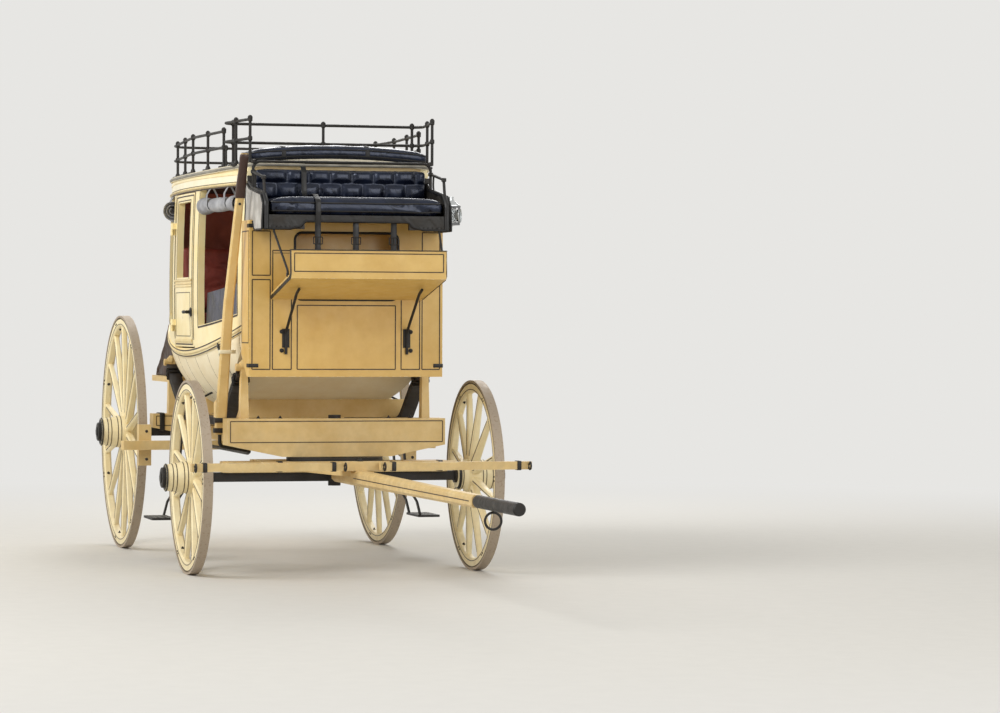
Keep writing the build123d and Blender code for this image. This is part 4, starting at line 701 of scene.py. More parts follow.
@dataclass
class Shape:
    """Mesh under construction, in frame metres, with the finish and the body that it gets."""

    name: str
    finish: Finish
    body: Body = Body.COACH
    points: list[Vector] = field(default_factory=list)
    faces: list[tuple[int, ...]] = field(default_factory=list)

    def grid(self, rows: Sequence[Sequence[Vector]], capped: bool = True) -> None:
        """Skin closed rows of points that all have the same length.

        Args:
            rows: Rows of points.
            capped: Whether the first and last rows are closed by a face.
        """
        base, wide = len(self.points), len(rows[0])
        for row in rows:
            self.points.extend(row)
        for start in range(base, base + (len(rows) - 1) * wide, wide):
            for c in range(wide):
                a, b = start + c, start + (c + 1) % wide
                self.faces.append((a, b, b + wide, a + wide))
        if capped:
            self.faces.append(tuple(range(base + wide - 1, base - 1, -1)))
            top = base + (len(rows) - 1) * wide
            self.faces.append(tuple(range(top, top + wide)))

    def block(self, centre: Point, size: Point, ease: float, turn: Matrix = Matrix.Identity(3)) -> None:
        """A block with eased long edges.

        Args:
            centre: Middle of the block.
            size: Its three sizes.
            ease: Width of the eased corners of its section.
            turn: Rotation about its middle.
        """
        hx, hy, hz = (s / 2 for s in size)
        e = min(ease, hx * 0.9, hy * 0.9)
        ring = [(hx - e, -hy), (hx, -hy + e), (hx, hy - e), (hx - e, hy), (-hx + e, hy), (-hx, hy - e),
                (-hx, -hy + e), (-hx + e, -hy)]
        self.grid([[Vector(centre) + turn @ Vector((x, y, z)) for x, y in ring] for z in (-hz, hz)])

    def tube(self, route: Sequence[Vector], radius: float | Sequence[float], sides: int = 8) -> None:
        """A round tube along a route.

        Args:
            route: Points on the middle line.
            radius: One radius, or one for each point.
            sides: Points around.
        """
        sizes = [radius] * len(route) if isinstance(radius, float) else radius
        lift = UP
        rows = []
        for spot, along, size in zip(route, headings(route), sizes):
            if abs(along.dot(lift)) > 0.98:
                lift = AHEAD
            side = along.cross(lift).normalized()
            top = side.cross(along).normalized()
            rows.append([spot + size * (math.cos(t) * side + math.sin(t) * top) for t in turns(sides)])
        self.grid(rows)

    def turned(self, centre: Point, axis: Vector, profile: Sequence[Flat], sides: int = 24, ring: bool = False) -> None:
        """A turned form.

        Args:
            centre: Point on the axis from which the profile is measured.
            axis: Direction of the axis.
            profile: Rows of distance along the axis and radius.
            sides: Points around.
            ring: Whether the profile closes on itself and leaves the middle open.
        """
        line = axis.normalized()
        one = line.orthogonal().normalized()
        two = line.cross(one)
        rows = [[Vector(centre) + line * along + radius * (math.cos(t) * one + math.sin(t) * two)
                 for t in turns(sides)] for along, radius in profile]
        self.grid(rows + rows[:1] if ring else rows, capped=not ring)

    def loop(self, line: Sequence[Vector], radius: float, sides: int = 8) -> None:
        """A closed round cord, such as a welt.

        Args:
            line: Points of the closed line.
            radius: Its radius.
            sides: Points around.
        """
        rows = []
        middle = sum(line, Vector()) / len(line)
        for i, spot in enumerate(line):
            along = (line[(i + 1) % len(line)] - line[i - 1]).normalized()
            out = spot - middle
            out = (out - along * out.dot(along)).normalized()
            up = along.cross(out)
            rows.append([spot + radius * (math.cos(t) * out + math.sin(t) * up) for t in turns(sides)])
        self.grid(rows + rows[:1], capped=False)

    def strap(self, route: Sequence[Vector], across: Vector, width: float, thick: float, lift: float = 0.0) -> None:
        """A flat strap with eased edges that follows a route.

        Args:
            route: Points on its middle line.
            across: Direction of its width.
            width: Its width.
            thick: Its thickness.
            lift: Distance of its middle off the route.
        """
        w, t = width / 2, thick / 2
        section = ((-w, -t * 0.4), (-w + t, -t), (w - t, -t), (w, -t * 0.4), (w, t * 0.4), (w - t, t), (-w + t, t),
                   (-w, t * 0.4))
        rows = []
        for spot, along in zip(route, headings(route)):
            side = (across - along * across.dot(along)).normalized()
            out = side.cross(along).normalized()
            rows.append([spot + out * lift + side * a + out * b for a, b in section])
        self.grid(rows)

    def clip(self, ring: Sequence[Vector], across: Vector, width: float, thick: float) -> None:
        """A flat iron clip bent to a closed outline."""
        self.strap([*ring, ring[0]], across, width, thick)

    def band(self, face: Face, line: Sequence[Flat], width: float, lift: float = PAINT, rounded: bool = False) -> None:
        """Lay a stripe or moulding along a line on a surface.

        Args:
            face: The surface.
            line: Points of its middle line on that surface.
            width: Its width.
            lift: How far it stands off the surface.
            rounded: Whether it is half round.
        """
        section = [(-0.5, -0.6), (-0.5, 0.25), (-0.3, 0.8), (0.0, 1.0), (0.3, 0.8), (0.5, 0.25), (0.5, -0.6)] \
            if rounded else [(-0.5, -0.6), (-0.5, 1.0), (0.5, 1.0), (0.5, -0.6)]
        rows = []
        for i, (u, v) in enumerate(line):
            ahead, behind = line[min(i + 1, len(line) - 1)], line[max(i - 1, 0)]
            du, dv = ahead[0] - behind[0], ahead[1] - behind[1]
            size = math.hypot(du, dv) or 1.0
            nu, nv = -dv / size * width, du / size * width
            rows.append([face.spot(u + s * nu, v + s * nv, t * lift) for s, t in section])
        self.grid(rows)

    def framed(self, face: Face, box: Box, width: float, lift: float = PAINT) -> None:
        """Paint a rectangle's four sides on a surface; its bounds run along the first direction, then the second."""
        for line in frame_line(box):
            self.band(face, line, width, lift)

    def nail(self, spot: Vector, way: Vector, radius: float, height: float, sides: int = 8) -> None:
        """A domed nail or bolt head, from the middle of its foot and the direction that it faces."""
        self.turned(spot, way, [(-0.3 * height, radius), (0.35 * height, radius), (0.8 * height, radius * 0.7),
                                (height, radius * 0.25)], sides)

    def nut(self, spot: Vector, way: Vector, size: float, height: float) -> None:
        """A forged nut on a washer, with the bolt's end standing out of it.

        Args:
            spot: Middle of its foot.
            way: Direction that it faces.
            size: Width of the nut.
            height: Its height.
        """
        self.turned(spot, way, [(-0.001, size * 0.82), (0.002, size * 0.82), (0.0025, size * 0.74)], 14)
        self.turned(spot, way, [(0.0, size * 0.62), (height * 0.8, size * 0.62), (height, size * 0.5)], 4)
        self.turned(spot, way, [(0.0, size * 0.26), (height * 1.4, size * 0.26), (height * 1.6, size * 0.16)], 8)

    def buckle(self, spot: Vector, out: Vector, up: Vector) -> None:
        """A square wire buckle with its tongue, on a strap that runs up."""
        self.loop(eased_ring(spot, up.cross(out).normalized() * 0.024, up * 0.018), 0.0028, 6)
        self.tube([spot + up * 0.018, spot + out * 0.003, spot - up * 0.020], 0.002, 6)

    def placed(self) -> Thing:
        """Make the Blender object and place it, smooth up to its sharp edges, or flat where it is striping.

        Returns:
            The placed object.
        """
        mesh = bpy.data.meshes.new(self.name)
        mesh.from_pydata([tuple(p) for p in self.points], [], self.faces)
        shape = bmesh.new()
        shape.from_mesh(mesh)
        bmesh.ops.remove_doubles(shape, verts=shape.verts, dist=1e-6)
        bmesh.ops.recalc_face_normals(shape, faces=shape.faces)
        for edge in shape.edges:
            edge.smooth = len(edge.link_faces) == 2 and edge.calc_face_angle(0.0) < math.radians(40.0)
        for face in shape.faces:
            face.smooth = self.finish not in (Palette.STRIPE, Palette.SEAM)
        shape.to_mesh(mesh)
        shape.free()
        return place(linked(self.name, mesh), self.finish, self.body)


def linked(name: str, data: bpy.types.ID) -> Thing:
    """A new object in the scene.

    Args:
        name: Its name.
        data: Its mesh, light or camera.

    Returns:
        The object.
    """
    made = bpy.data.objects.new(name, data)
    bpy.context.scene.collection.objects.link(made)
    return made


class Facing(Enum):
    """Face of a pad that its tufts are sewn through, by its axis."""

    UP = 2
    FORWARD = 0


@dataclass
class Pad:
    """Stuffed pad in a leather cover.

    Its blank is a rounded block. Channels and buttons are pressed in and held, the cover is then filled out
    by a cloth simulation, and the welt is laid on the finished skin.
    """

    name: str
    low: Point
    high: Point
    finish: Finish
    facing: Facing = Facing.UP
    edge: float = 0.03
    crown: float = 0.008
    draw_in: float = 0.006
    buttons: tuple[Flat, ...] = ()
    channels: tuple[tuple[Flat, Flat], ...] = ()
    depth: float = 0.014
    spread: float = 0.03
    voxel: float = 0.009
    puff: float = 0.012
    pressure: float = 4.0
    fill: float = 0.7
    bend: Callable[[Vector], Vector] = Vector
    turned_about: bool = False

    def __post_init__(self) -> None:
        """Note the axis of the sewn face, and the other two."""
        self.face = self.facing.value
        self.others = [k for k in range(3) if k != self.face]

    def blank(self) -> Thing:
        """Rounded block with a crowned face and sides that draw in between the corners.

        Returns:
            The block.
        """
        shape = bmesh.new()
        bmesh.ops.create_cube(shape, size=2.0)
        bmesh.ops.subdivide_edges(shape, edges=shape.edges, cuts=15, use_grid_fill=True)
        low, high = Vector(self.low), Vector(self.high)
        middle, half = (low + high) / 2, (high - low) / 2
        first, second = self.others
        for vertex in shape.verts:
            unit = vertex.co.copy()
            spot = Vector(unit[k] * half[k] for k in range(3))
            core = Vector(max(-half[k] + self.edge, min(half[k] - self.edge, spot[k])) for k in range(3))
            away = spot - core
            if away.length > 1e-9:
                spot = core + away.normalized() * self.edge
            for k, other in ((first, second), (second, first)):
                if abs(unit[k]) > 0.93:
                    spot[k] -= math.copysign(self.draw_in * (1.0 - unit[other] ** 4), unit[k])
            if unit[self.face] > 0.0:
                spot[self.face] += self.crown * (1.0 - unit[first] ** 2) * (1.0 - unit[second] ** 4) * unit[self.face]
            vertex.co = middle + spot
        mesh = bpy.data.meshes.new(self.name)
        shape.to_mesh(mesh)
        shape.free()
        return linked(self.name, mesh)

    def pressed(self, spot: Vector) -> float:
        """Share of the full depth to which the tufting presses a point.

        Args:
            spot: The point.

        Returns:
            The share, from 0 to 1.
        """
        u, v = (spot[k] for k in self.others)
        near = [math.hypot(u - a, v - b) for a, b in self.buttons]
        for (a, b), (c, d) in self.channels:
            run = (c - a) ** 2 + (d - b) ** 2
            share = max(0.0, min(1.0, ((u - a) * (c - a) + (v - b) * (d - b)) / run))
            near.append(math.hypot(u - a - share * (c - a), v - b - share * (d - b)) * 1.4)
        return math.exp(-((min(near) / self.spread) ** 2)) if near else 0.0

    def made(self, stands_for: str) -> Thing:
        """Build, fill out, bend and place the pad.

        Args:
            stands_for: CAD node that it replaces.

        Returns:
            The finished pad.
        """
        piece = self.blank()
        self.evened(piece)
        middle = (self.low[self.face] + self.high[self.face]) / 2
        held = []
        for vertex in piece.data.vertices:
            if vertex.normal[self.face] > 0.25 and vertex.co[self.face] > middle:
                share = self.pressed(vertex.co)
                vertex.co[self.face] -= self.depth * share
                if share > 0.86:
                    held.append(vertex.index)
            elif vertex.co[self.face] < self.low[self.face] + 0.004:
                held.append(vertex.index)
        self.fill_out(piece, held)
        for vertex in piece.data.vertices:
            for k in range(3):
                top = self.high[k] + (self.crown + self.puff if k == self.face else 0.0)
                vertex.co[k] = max(self.low[k], min(top, vertex.co[k]))
            vertex.co = self.bend(vertex.co)
            if self.turned_about:
                vertex.co.x = self.low[0] + self.high[0] - vertex.co.x
        if self.turned_about:
            piece.data.flip_normals()
        for polygon in piece.data.polygons:
            polygon.use_smooth = True
        smooth = piece.modifiers.new("smooth", "SUBSURF")
        smooth.levels = smooth.render_levels = 1
        place(piece, self.finish)
        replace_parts(piece, stands_for)
        return piece

    def evened(self, piece: Thing) -> None:
        """Give the blank even faces of one size.

        Args:
            piece: The blank, whose mesh is replaced.
        """
        even = piece.modifiers.new("even", "REMESH")
        even.mode = "VOXEL"
        even.voxel_size = self.voxel * 1.0
        mesh = bpy.data.meshes.new_from_object(piece.evaluated_get(bpy.context.evaluated_depsgraph_get()))
        piece.modifiers.clear()
        old, piece.data = piece.data, mesh
        bpy.data.meshes.remove(old)

    def fill_out(self, piece: Thing, held: Sequence[int]) -> None:
        """Fill the pad out with a short cloth simulation, and keep its result.

        Args:
            piece: The pad.
            held: Vertices that stay where they are.
        """
        group = piece.vertex_groups.new(name="held")
        group.add(list(held), 1.0, "REPLACE")
        before = [vertex.co.copy() for vertex in piece.data.vertices]
        cloth = piece.modifiers.new("cover", "CLOTH")
        for key, value in {"quality": 4, "mass": 0.4, "tension_stiffness": 18.0, "compression_stiffness": 14.0,
                           "shear_stiffness": 8.0, "bending_stiffness": 0.8, "use_pressure": True,
                           "uniform_pressure_force": self.pressure, "vertex_group_mass": "held"}.items():
            setattr(cloth.settings, key, value)
        cloth.settings.effector_weights.gravity = 0.0
        cloth.collision_settings.use_collision = False
        cloth.point_cache.frame_start, cloth.point_cache.frame_end = 1, 20
        for step in range(1, 21):
            bpy.context.scene.frame_set(step)
        solver = piece.evaluated_get(bpy.context.evaluated_depsgraph_get())
        after = [vertex.co.copy() for vertex in solver.to_mesh().vertices]
        solver.to_mesh_clear()
        piece.modifiers.remove(cloth)
        piece.vertex_groups.remove(group)
        for vertex, old, new in zip(piece.data.vertices, before, after):
            move = new - old
            vertex.co = old + move * min(1.0, self.puff / max(move.length, 1e-12))
        piece.data.update()
        bpy.context.scene.frame_set(1)

    def welts(self, name: str, piece: Thing, shares: Flat, radius: float) -> None:
        """Welts round the pad, laid on its skin.

        Args:
            name: Name of their piece.
            piece: The finished pad.
            shares: Their heights, as shares of the pad's thickness.
            radius: Radius of the cord.
        """
        shape = Shape(name, Palette.BINDING)
        inset = 0.004
        (a0, a1), (b0, b1) = ((self.low[k] + inset, self.high[k] - inset) for k in self.others)
        flat = rounded_box((a0, a1, b0, b1), self.edge, 6)
        for height in shares:
            line = []
            for first, second in zip(flat, flat[1:] + flat[:1]):
                bits = max(1, int(math.dist(first, second) / 0.025))
                for i in range(bits):
                    spot = Vector()
                    for k, a, b in zip(self.others, first, second):
                        spot[k] = a + i / bits * (b - a)
                    spot[self.face] = self.low[self.face] + height * (self.high[self.face] - self.low[self.face])
                    line.append(self.bend(spot))
            shape.loop(on_skin(piece, line, -0.001), radius)
        shape.placed()


@dataclass
class Flank:
    """One painted side of the body, with its striping, mouldings and belly seams."""

    side: float
    sill: float = 1.150
    sill_radius: float = 4.29375
    sill_band: float = 0.042
    band_out: float = 0.007
    quarter_low: float = 1.318
    keel: float = 0.850
    floor_radius: float = 1.782
    door: Flat = (-1.374, -0.770)
    door_low: float = 1.196
    line: float = 0.0065
    seam_stations: tuple[float, ...] = (-1.93, -1.66, -1.38, -1.10, -0.82, -0.54, -0.26, 0.0)

    def __post_init__(self) -> None:
        """Note the surface and the stations of its long lines."""
        self.face = ShellFace(self.side)
        self.stations = steps_between(BODY_BACK + 0.004, BODY_FRONT - 0.004, 60)

    def sill_z(self, x: float) -> float:
        """Underside of the sill band at a station."""
        return self.sill + gained(self.sill_radius, x)

    def quarter_z(self, x: float) -> float:
        """Height of the line under the quarter openings at a station."""
        return self.quarter_low + gained(QUARTER_RADIUS, x) - 0.009

    def upright(self, shape: Shape, x: float, low: float, width: float, count: int = 14) -> None:
        """An upright line, in a count of runs, that ends under the letterboard."""
        shape.band(self.face, [(x, z) for z in steps_between(low, LETTER_LOW - 0.005, count)], width)

    def striping(self) -> None:
        """Dark striping, from the letterboard down to the sill band."""
        shape = Shape(f"side_striping_{word(self.side)}", Palette.STRIPE)
        for up in (0.005, self.sill_band - 0.005):
            shape.band(self.face, [(x, self.sill_z(x) + up) for x in self.stations], self.line, self.band_out + PAINT)
        for z, wide in ((LETTER_LOW - 0.005, 0.007), (LETTER_LOW + 0.018, 0.003)):
            shape.band(self.face, [(x, z) for x in self.stations], wide)
        for x0, x1 in QUARTERS:
            ends = (x0 - 0.008, x1 + 0.008)
            shape.band(self.face, [(x, self.quarter_z(x)) for x in steps_between(*ends, 16)], 0.010)
            for x in ends:
                self.upright(shape, x, self.quarter_z(x), self.line, 12)
        for x in self.door:
            self.upright(shape, x, max(self.door_low, self.sill_z(x) + self.sill_band), 0.010)
        for x in (BODY_FRONT - 0.012, BODY_BACK + 0.012):
            self.upright(shape, x, self.sill_z(x) + self.sill_band + 0.016, 0.004)
        shape.placed()

    def mouldings(self) -> None:
        """Half-round beads down the middle of the sill band and under the letterboard, and the letterboard's paint."""
        shape = Shape(f"side_mouldings_{word(self.side)}", Palette.BEAD)
        shape.band(self.face, [(x, self.sill_z(x) + self.sill_band / 2) for x in self.stations], 0.018,
                   self.band_out + 0.005, rounded=True)
        shape.band(self.face, [(x, LETTER_LOW + 0.007) for x in self.stations], 0.012, 0.013, rounded=True)
        shape.placed()
        board = Shape(f"letterboard_paint_{word(self.side)}", Palette.LETTER)
        low, high = LETTER_LOW + 0.020, LETTER_TOP - 0.021
        board.band(self.face, [(x, (low + high) / 2) for x in self.stations], high - low, 0.0009)
        board.placed()

    def seams(self) -> None:
        """Board seams of the belly, where it is deep enough to show them."""
        shape = Shape(f"belly_seams_{word(self.side)}", Palette.SEAM)
        for x in self.seam_stations:
            low, high = self.keel + gained(self.floor_radius, x) + 0.006, self.sill_z(x) - 0.004
            if high - low > 0.03:
                shape.band(self.face, [(x, z) for z in steps_between(low, high, 10)], 0.004, 0.0008)
        shape.placed()

    def build(self) -> None:
        """Paint the side and lay its lines."""
        dress(Palette.SIDE, f"side_{word(self.side)}")
        self.striping()
        self.mouldings()
        self.seams()


@dataclass
class BodyEnds:
    """Ends, belly, floor and roof of the body, with the framed lines on its rear panel."""

    panes: tuple[Box, Box] = ((-0.43, -0.03, 1.54, 2.10), (0.03, 0.43, 1.54, 2.10))
    half_line: float = 0.003

    def striping(self) -> None:
        """Framed lines that follow the rear panel's swell."""
        shape = Shape("end_striping", Palette.STRIPE)
        for line in frame_line(self.panes[0]) + frame_line(self.panes[1]):
            rows = []
            for i, (y, z) in enumerate(line):
                ahead, behind = line[min(i + 1, len(line) - 1)], line[max(i - 1, 0)]
                size = math.dist(ahead, behind) / self.half_line
                ny, nz = -(ahead[1] - behind[1]) / size, (ahead[0] - behind[0]) / size
                rows.append([mark(swell(z) - lift, y + s * ny, z + s * nz) for s, lift in painted_section(0.0014)])
            shape.grid(rows)
        shape.placed()

    def build(self) -> None:
        """Paint the ends, the belly and the roof."""
        dress(Palette.BELLY, "belly", "floor")
        dress(Palette.RUNNING, "body_bearers")
        dress(Palette.ENDS, "front_panel", "rear_panel")
        dress(Palette.ROOF, "roof")
        self.striping()


@dataclass
class Door:
    """One door with its striping, ledges and T handle."""

    side: float
    back: float = -1.354
    front: float = -0.790
    low: float = 1.210
    top: float = 2.072
    window: Box = (-1.262, -0.882, 1.600, 2.024)
    handle: Flat = (-0.832, 1.405)
    ledge_rows: tuple[Point, ...] = ((1.583, 0.014, 0.010), (1.564, 0.010, 0.007), (1.548, 0.008, 0.005),
                                     (1.244, 0.022, 0.006))

    def __post_init__(self) -> None:
        """Note the door's surface and its body."""
        self.face = ShellFace(self.side)
        self.body = Body(f"door_{word(self.side)}")

    def striping(self) -> None:
        """Frame lines round the door, its window and its lower panel."""
        shape = Shape(f"door_striping_{word(self.side)}", Palette.STRIPE, self.body)
        x0, x1, z0, z1 = self.window
        for box, width in (((self.back + 0.014, self.front - 0.014, self.low + 0.014, self.top - 0.014), 0.0075),
                           ((x0 - 0.010, x1 + 0.010, z0 - 0.012, z1 + 0.010), 0.0055),
                           ((self.back + 0.060, self.front - 0.060, self.low + 0.060, z0 - 0.085), 0.004)):
            shape.framed(self.face, box, width)
        shape.placed()

    def ledges(self) -> None:
        """Three grooved ledges under the window and a pale rail at the door's foot."""
        shape = Shape(f"door_ledges_{word(self.side)}", Palette.BEAD, self.body)
        xs = steps_between(self.back + 0.022, self.front - 0.022, 12)
        for z, width, lift in self.ledge_rows:
            shape.band(self.face, [(x, z) for x in xs], width, lift, rounded=True)
        shape.placed()

    def iron(self) -> None:
        """T handle on its rose, with two screws."""
        shape = Shape(f"door_handle_{word(self.side)}", Palette.IRON, self.body)
        x, z = self.handle
        foot = self.face.spot(x, z)
        out = (self.face.spot(x, z, 0.1) - foot).normalized()
        shape.turned(foot, out, [(-0.002, 0.026), (0.003, 0.026), (0.006, 0.021), (0.008, 0.010), (0.030, 0.008),
                                 (0.036, 0.010)], 20)
        ts = steps_between(-1.0, 1.0, 12)
        shape.tube([foot + out * (0.036 + 0.004 * math.cos(t * 3.0)) + shift(0.052 * t) for t in ts],
                   [0.0065 + 0.0035 * abs(t) ** 3 for t in ts], 10)
        for screw in (x - 0.018, x + 0.018):
            shape.nail(self.face.spot(screw, z, 0.003), out, 0.0035, 0.002)
        shape.placed()

    def build(self) -> None:
        """Paint the door and add its fittings."""
        dress(Palette.SIDE, self.body.value)
        self.striping()
        self.ledges()
        self.iron()


@dataclass
class Curtains:
    """Four leather side curtains, rolled up under the letterboard and strapped."""

    radius: float = 0.046
    height: float = 1.993
    inset: float = 0.030
    short: float = 0.030
    hide: float = 0.0034
    turns: float = 2.7
    core: float = 0.012
    cinch: Flat = (0.25, 0.75)

    def centre(self, side: float, x: float) -> Vector:
        """Middle of a side's rolls at a station."""
        return mark(x, side * (ShellFace(1.0).spot(x, 1.5).y - self.inset), self.height)

    def size(self, share: float, seed: float) -> float:
        """Size of a roll, drawn in at the straps and slack at its ends.

        Args:
            share: Share of its length.
            seed: What sets one roll's slack apart from another's.

        Returns:
            Its radius as a share of the plain radius.
        """
        drawn = sum(0.26 * math.exp(-((share - c) / 0.05) ** 2) for c in self.cinch)
        slack = 0.03 * math.sin(share * 17.0 + seed) + 0.015 * math.sin(share * 41.0 + 2.0 * seed)
        flare = 0.22 * max(0.0, abs(share - 0.5) / 0.5 - 0.6) / 0.4
        return 1.0 - drawn + slack + flare

    def roll(self, name: str, side: float, x0: float, x1: float, seed: float) -> None:
        """One curtain as a spiral sheet of hide, whose rear end hangs a little slack on the rear quarters.

        Args:
            name: Name of the piece.
            side: Side of the coach.
            x0: Station of its rear end.
            x1: Station of its front end.
            seed: What sets its slack and its waves apart.
        """
        shape = Shape(name, Palette.GREY_HIDE)
        rows, steps, bits = [], 52, 72
        pitch = (self.radius - self.core) / self.turns
        for share in steps_between(0.0, 1.0, steps):
            middle = self.centre(side, x0 + share * (x1 - x0))
            slack = max(0.0, share - 0.86) / 0.14 if x1 < -1.0 else 0.0
            middle.y += side * 0.028 * slack ** 2
            scale = self.size(share, seed) + 0.2 * slack ** 2
            outer, inner = [], []
            for k in range(bits + 1):
                turn = math.tau * self.turns * k / bits
                # The last half turn hangs a little away from the roll.
                tail = max(0.0, (k / bits - 0.86) / 0.14)
                wave = 0.0016 * noise.noise(Vector((share * 9.0, turn * 1.3, seed)))
                reach = (self.core + pitch * turn / math.tau) * scale + wave - 0.002 * tail
                lean = turn - 1.1
                for ring, r in ((outer, reach), (inner, reach - self.hide)):
                    ring.append(middle + shift(0.0, side * r * math.cos(lean), -r * math.sin(lean)))
            rows.append(outer + inner[::-1])
        shape.grid(rows)
        piece = shape.placed()
        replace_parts(piece, "curtain_rolls")

    def straps(self) -> None:
        """Strap loops from the letterboard round the rolls."""
        shape = Shape("curtain_straps", Palette.GREY_HIDE)
        top, r = LETTER_LOW - self.height + 0.002, self.radius * 0.80
        for side in SIDES:
            for x0, x1 in QUARTERS:
                for share in self.cinch:
                    middle = self.centre(side, x0 + self.short + share * (x1 - x0 - 2 * self.short))
                    loop = [(0.012, top), (r * 0.9, 0.055)]
                    loop += [(r * math.cos(t), -r * math.sin(t)) for t in steps_between(-0.3, math.pi + 0.3, 16)]
                    loop += [(-r * 0.7, 0.055), (-0.006, top)]
                    shape.strap([middle + shift(0.0, side * y, z) for y, z in loop], AHEAD, 0.044, 0.003, 0.0016)
        shape.placed()

    def build(self) -> None:
        """Roll up the four curtains."""
        self.straps()
        for side in SIDES[::-1]:
            for (x0, x1), end, seed in zip(QUARTERS, ("front", "rear"), (0.7, 2.9)):
                self.roll(f"curtain_{end}_{word(side)}", side, x0 + self.short, x1 - self.short, seed + side)


@dataclass
class FrontBoot:
    """Panelled boot under the driver's seat, its well, the footboard and its irons."""

    face_x: float = 0.278
    half: float = 0.528
    well: Box = (-0.282, 0.282, 1.470, 1.826)
    foot_low: Flat = (0.278, 1.500)
    foot_high: Flat = (0.774, 1.602)
    foot_half: float = 0.412
    lip: Flat = (0.800, 1.722)
    panels: tuple[Box, ...] = ((0.415, 0.512, 1.598, 1.832), (0.415, 0.512, 1.100, 1.575), (0.300, 0.402, 1.100, 1.730))
    low_panel: Box = (-0.268, 0.268, 1.100, 1.440)
    flank: Flat = (0.086, 0.262)
    line: float = 0.0055

    def striping(self) -> None:
        """Dark outlines of the front's and the sides' panels, with a second line across the inner ones."""
        shape = Shape("boot_striping", Palette.STRIPE)
        face = front_face(self.face_x)
        for side in SIDES:
            for panel in self.panels:
                shape.framed(face, mirrored(side, panel), self.line)
            low, high, _, top = mirrored(side, self.panels[2])
            shape.band(face, [(low, top - 0.014), (high, top - 0.014)], 0.003)
        shape.framed(face, self.low_panel, self.line)
        for side in SIDES:
            near, far = (at(x) for x in self.flank)
            face = FlatFace((0.0, side * self.half, 0.0), -side * AHEAD)
            shape.framed(face, mirrored(-side, (near, far, 1.24, 1.832)), self.line)
        shape.placed()

    def well_edge(self) -> None:
        """Dark leather edging round the well."""
        shape = Shape("well_edging", Palette.BINDING)
        shape.loop([mark(self.face_x + 0.001, y, z) for y, z in rounded_box(self.well, 0.040, 8)], 0.007)
        shape.placed()

    def slope(self, share: float) -> Vector:
        """Middle of the footboard's slope at a share of its length."""
        (x0, z0), (x1, z1) = self.foot_low, self.foot_high
        return mark(x0 + share * (x1 - x0), 0.0, z0 + share * (z1 - z0))

    def footboard(self) -> None:
        """Iron edging of the footboard and its lip, tread strips and bolts, and the lip's striping."""
        shape = Shape("footboard_edging", Palette.IRON)
        x, top = self.lip
        drop = shift(z=-0.018)
        for side in SIDES:
            out = shift(y=side * (self.foot_half + 0.0015))
            route = [self.slope(0.0) + out + drop + shift(0.02), self.slope(1.0) + out + drop + shift(0.02),
                     mark(x - 0.013, 0.0, top - 0.004) + out]
            shape.strap(rounded_route(route, 0.03), (side * ACROSS).cross(shift(0.3, 0.0, 1.0)), 0.022, 0.004)
        shape.strap([mark(x - 0.013, y * (self.foot_half + 0.003), top + 0.001) for y in SIDES], AHEAD, 0.034, 0.006)
        way = (self.slope(1.0) - self.slope(0.0)).normalized()
        for share in (0.45, 0.62, 0.79):
            spot = self.slope(share) + shift(z=0.001)
            shape.strap([spot + shift(y=y) for y in (-0.36, 0.36)], way, 0.022, 0.005)
        for side in SIDES:
            for share in (0.12, 0.5, 0.88):
                shape.nail(self.slope(share) + drop + shift(y=side * (self.foot_half + 0.0035)), side * ACROSS, 0.006,
                           0.003)
        shape.placed()
        lines = Shape("footboard_striping", Palette.STRIPE)
        lines.framed(front_face(x), (0.016 - self.foot_half, self.foot_half - 0.016, top - 0.110, top - 0.016), 0.005)
        lines.placed()

    def irons(self) -> None:
        """Stay plates with their nuts, and the boot's corner straps."""
        shape = Shape("boot_irons", Palette.IRON)
        x = self.face_x + 0.002
        for side in SIDES:
            foot = mark(x, side * 0.330, 1.215)
            shape.strap([foot, foot + shift(z=0.10)], ACROSS, 0.04, 0.005)
            for z in (1.200, 1.300):
                shape.nut(mark(x + 0.001, side * 0.352, z), AHEAD, 0.014, 0.007)
            for z in (1.12, 1.86):
                out = side * (self.half + 0.002)
                shape.strap([mark(self.face_x - 0.05, out, z), mark(x, out, z), mark(x, side * (self.half - 0.05), z)],
                            UP, 0.02, 0.003)
        shape.placed()

    def build(self) -> None:
        """Dress the boot and the footboard."""
        dress(Palette.BOOT, "front_boot", "footboard")
        dress(Palette.IRON, "footboard_irons")
        self.striping()
        self.well_edge()
        self.footboard()
        self.irons()


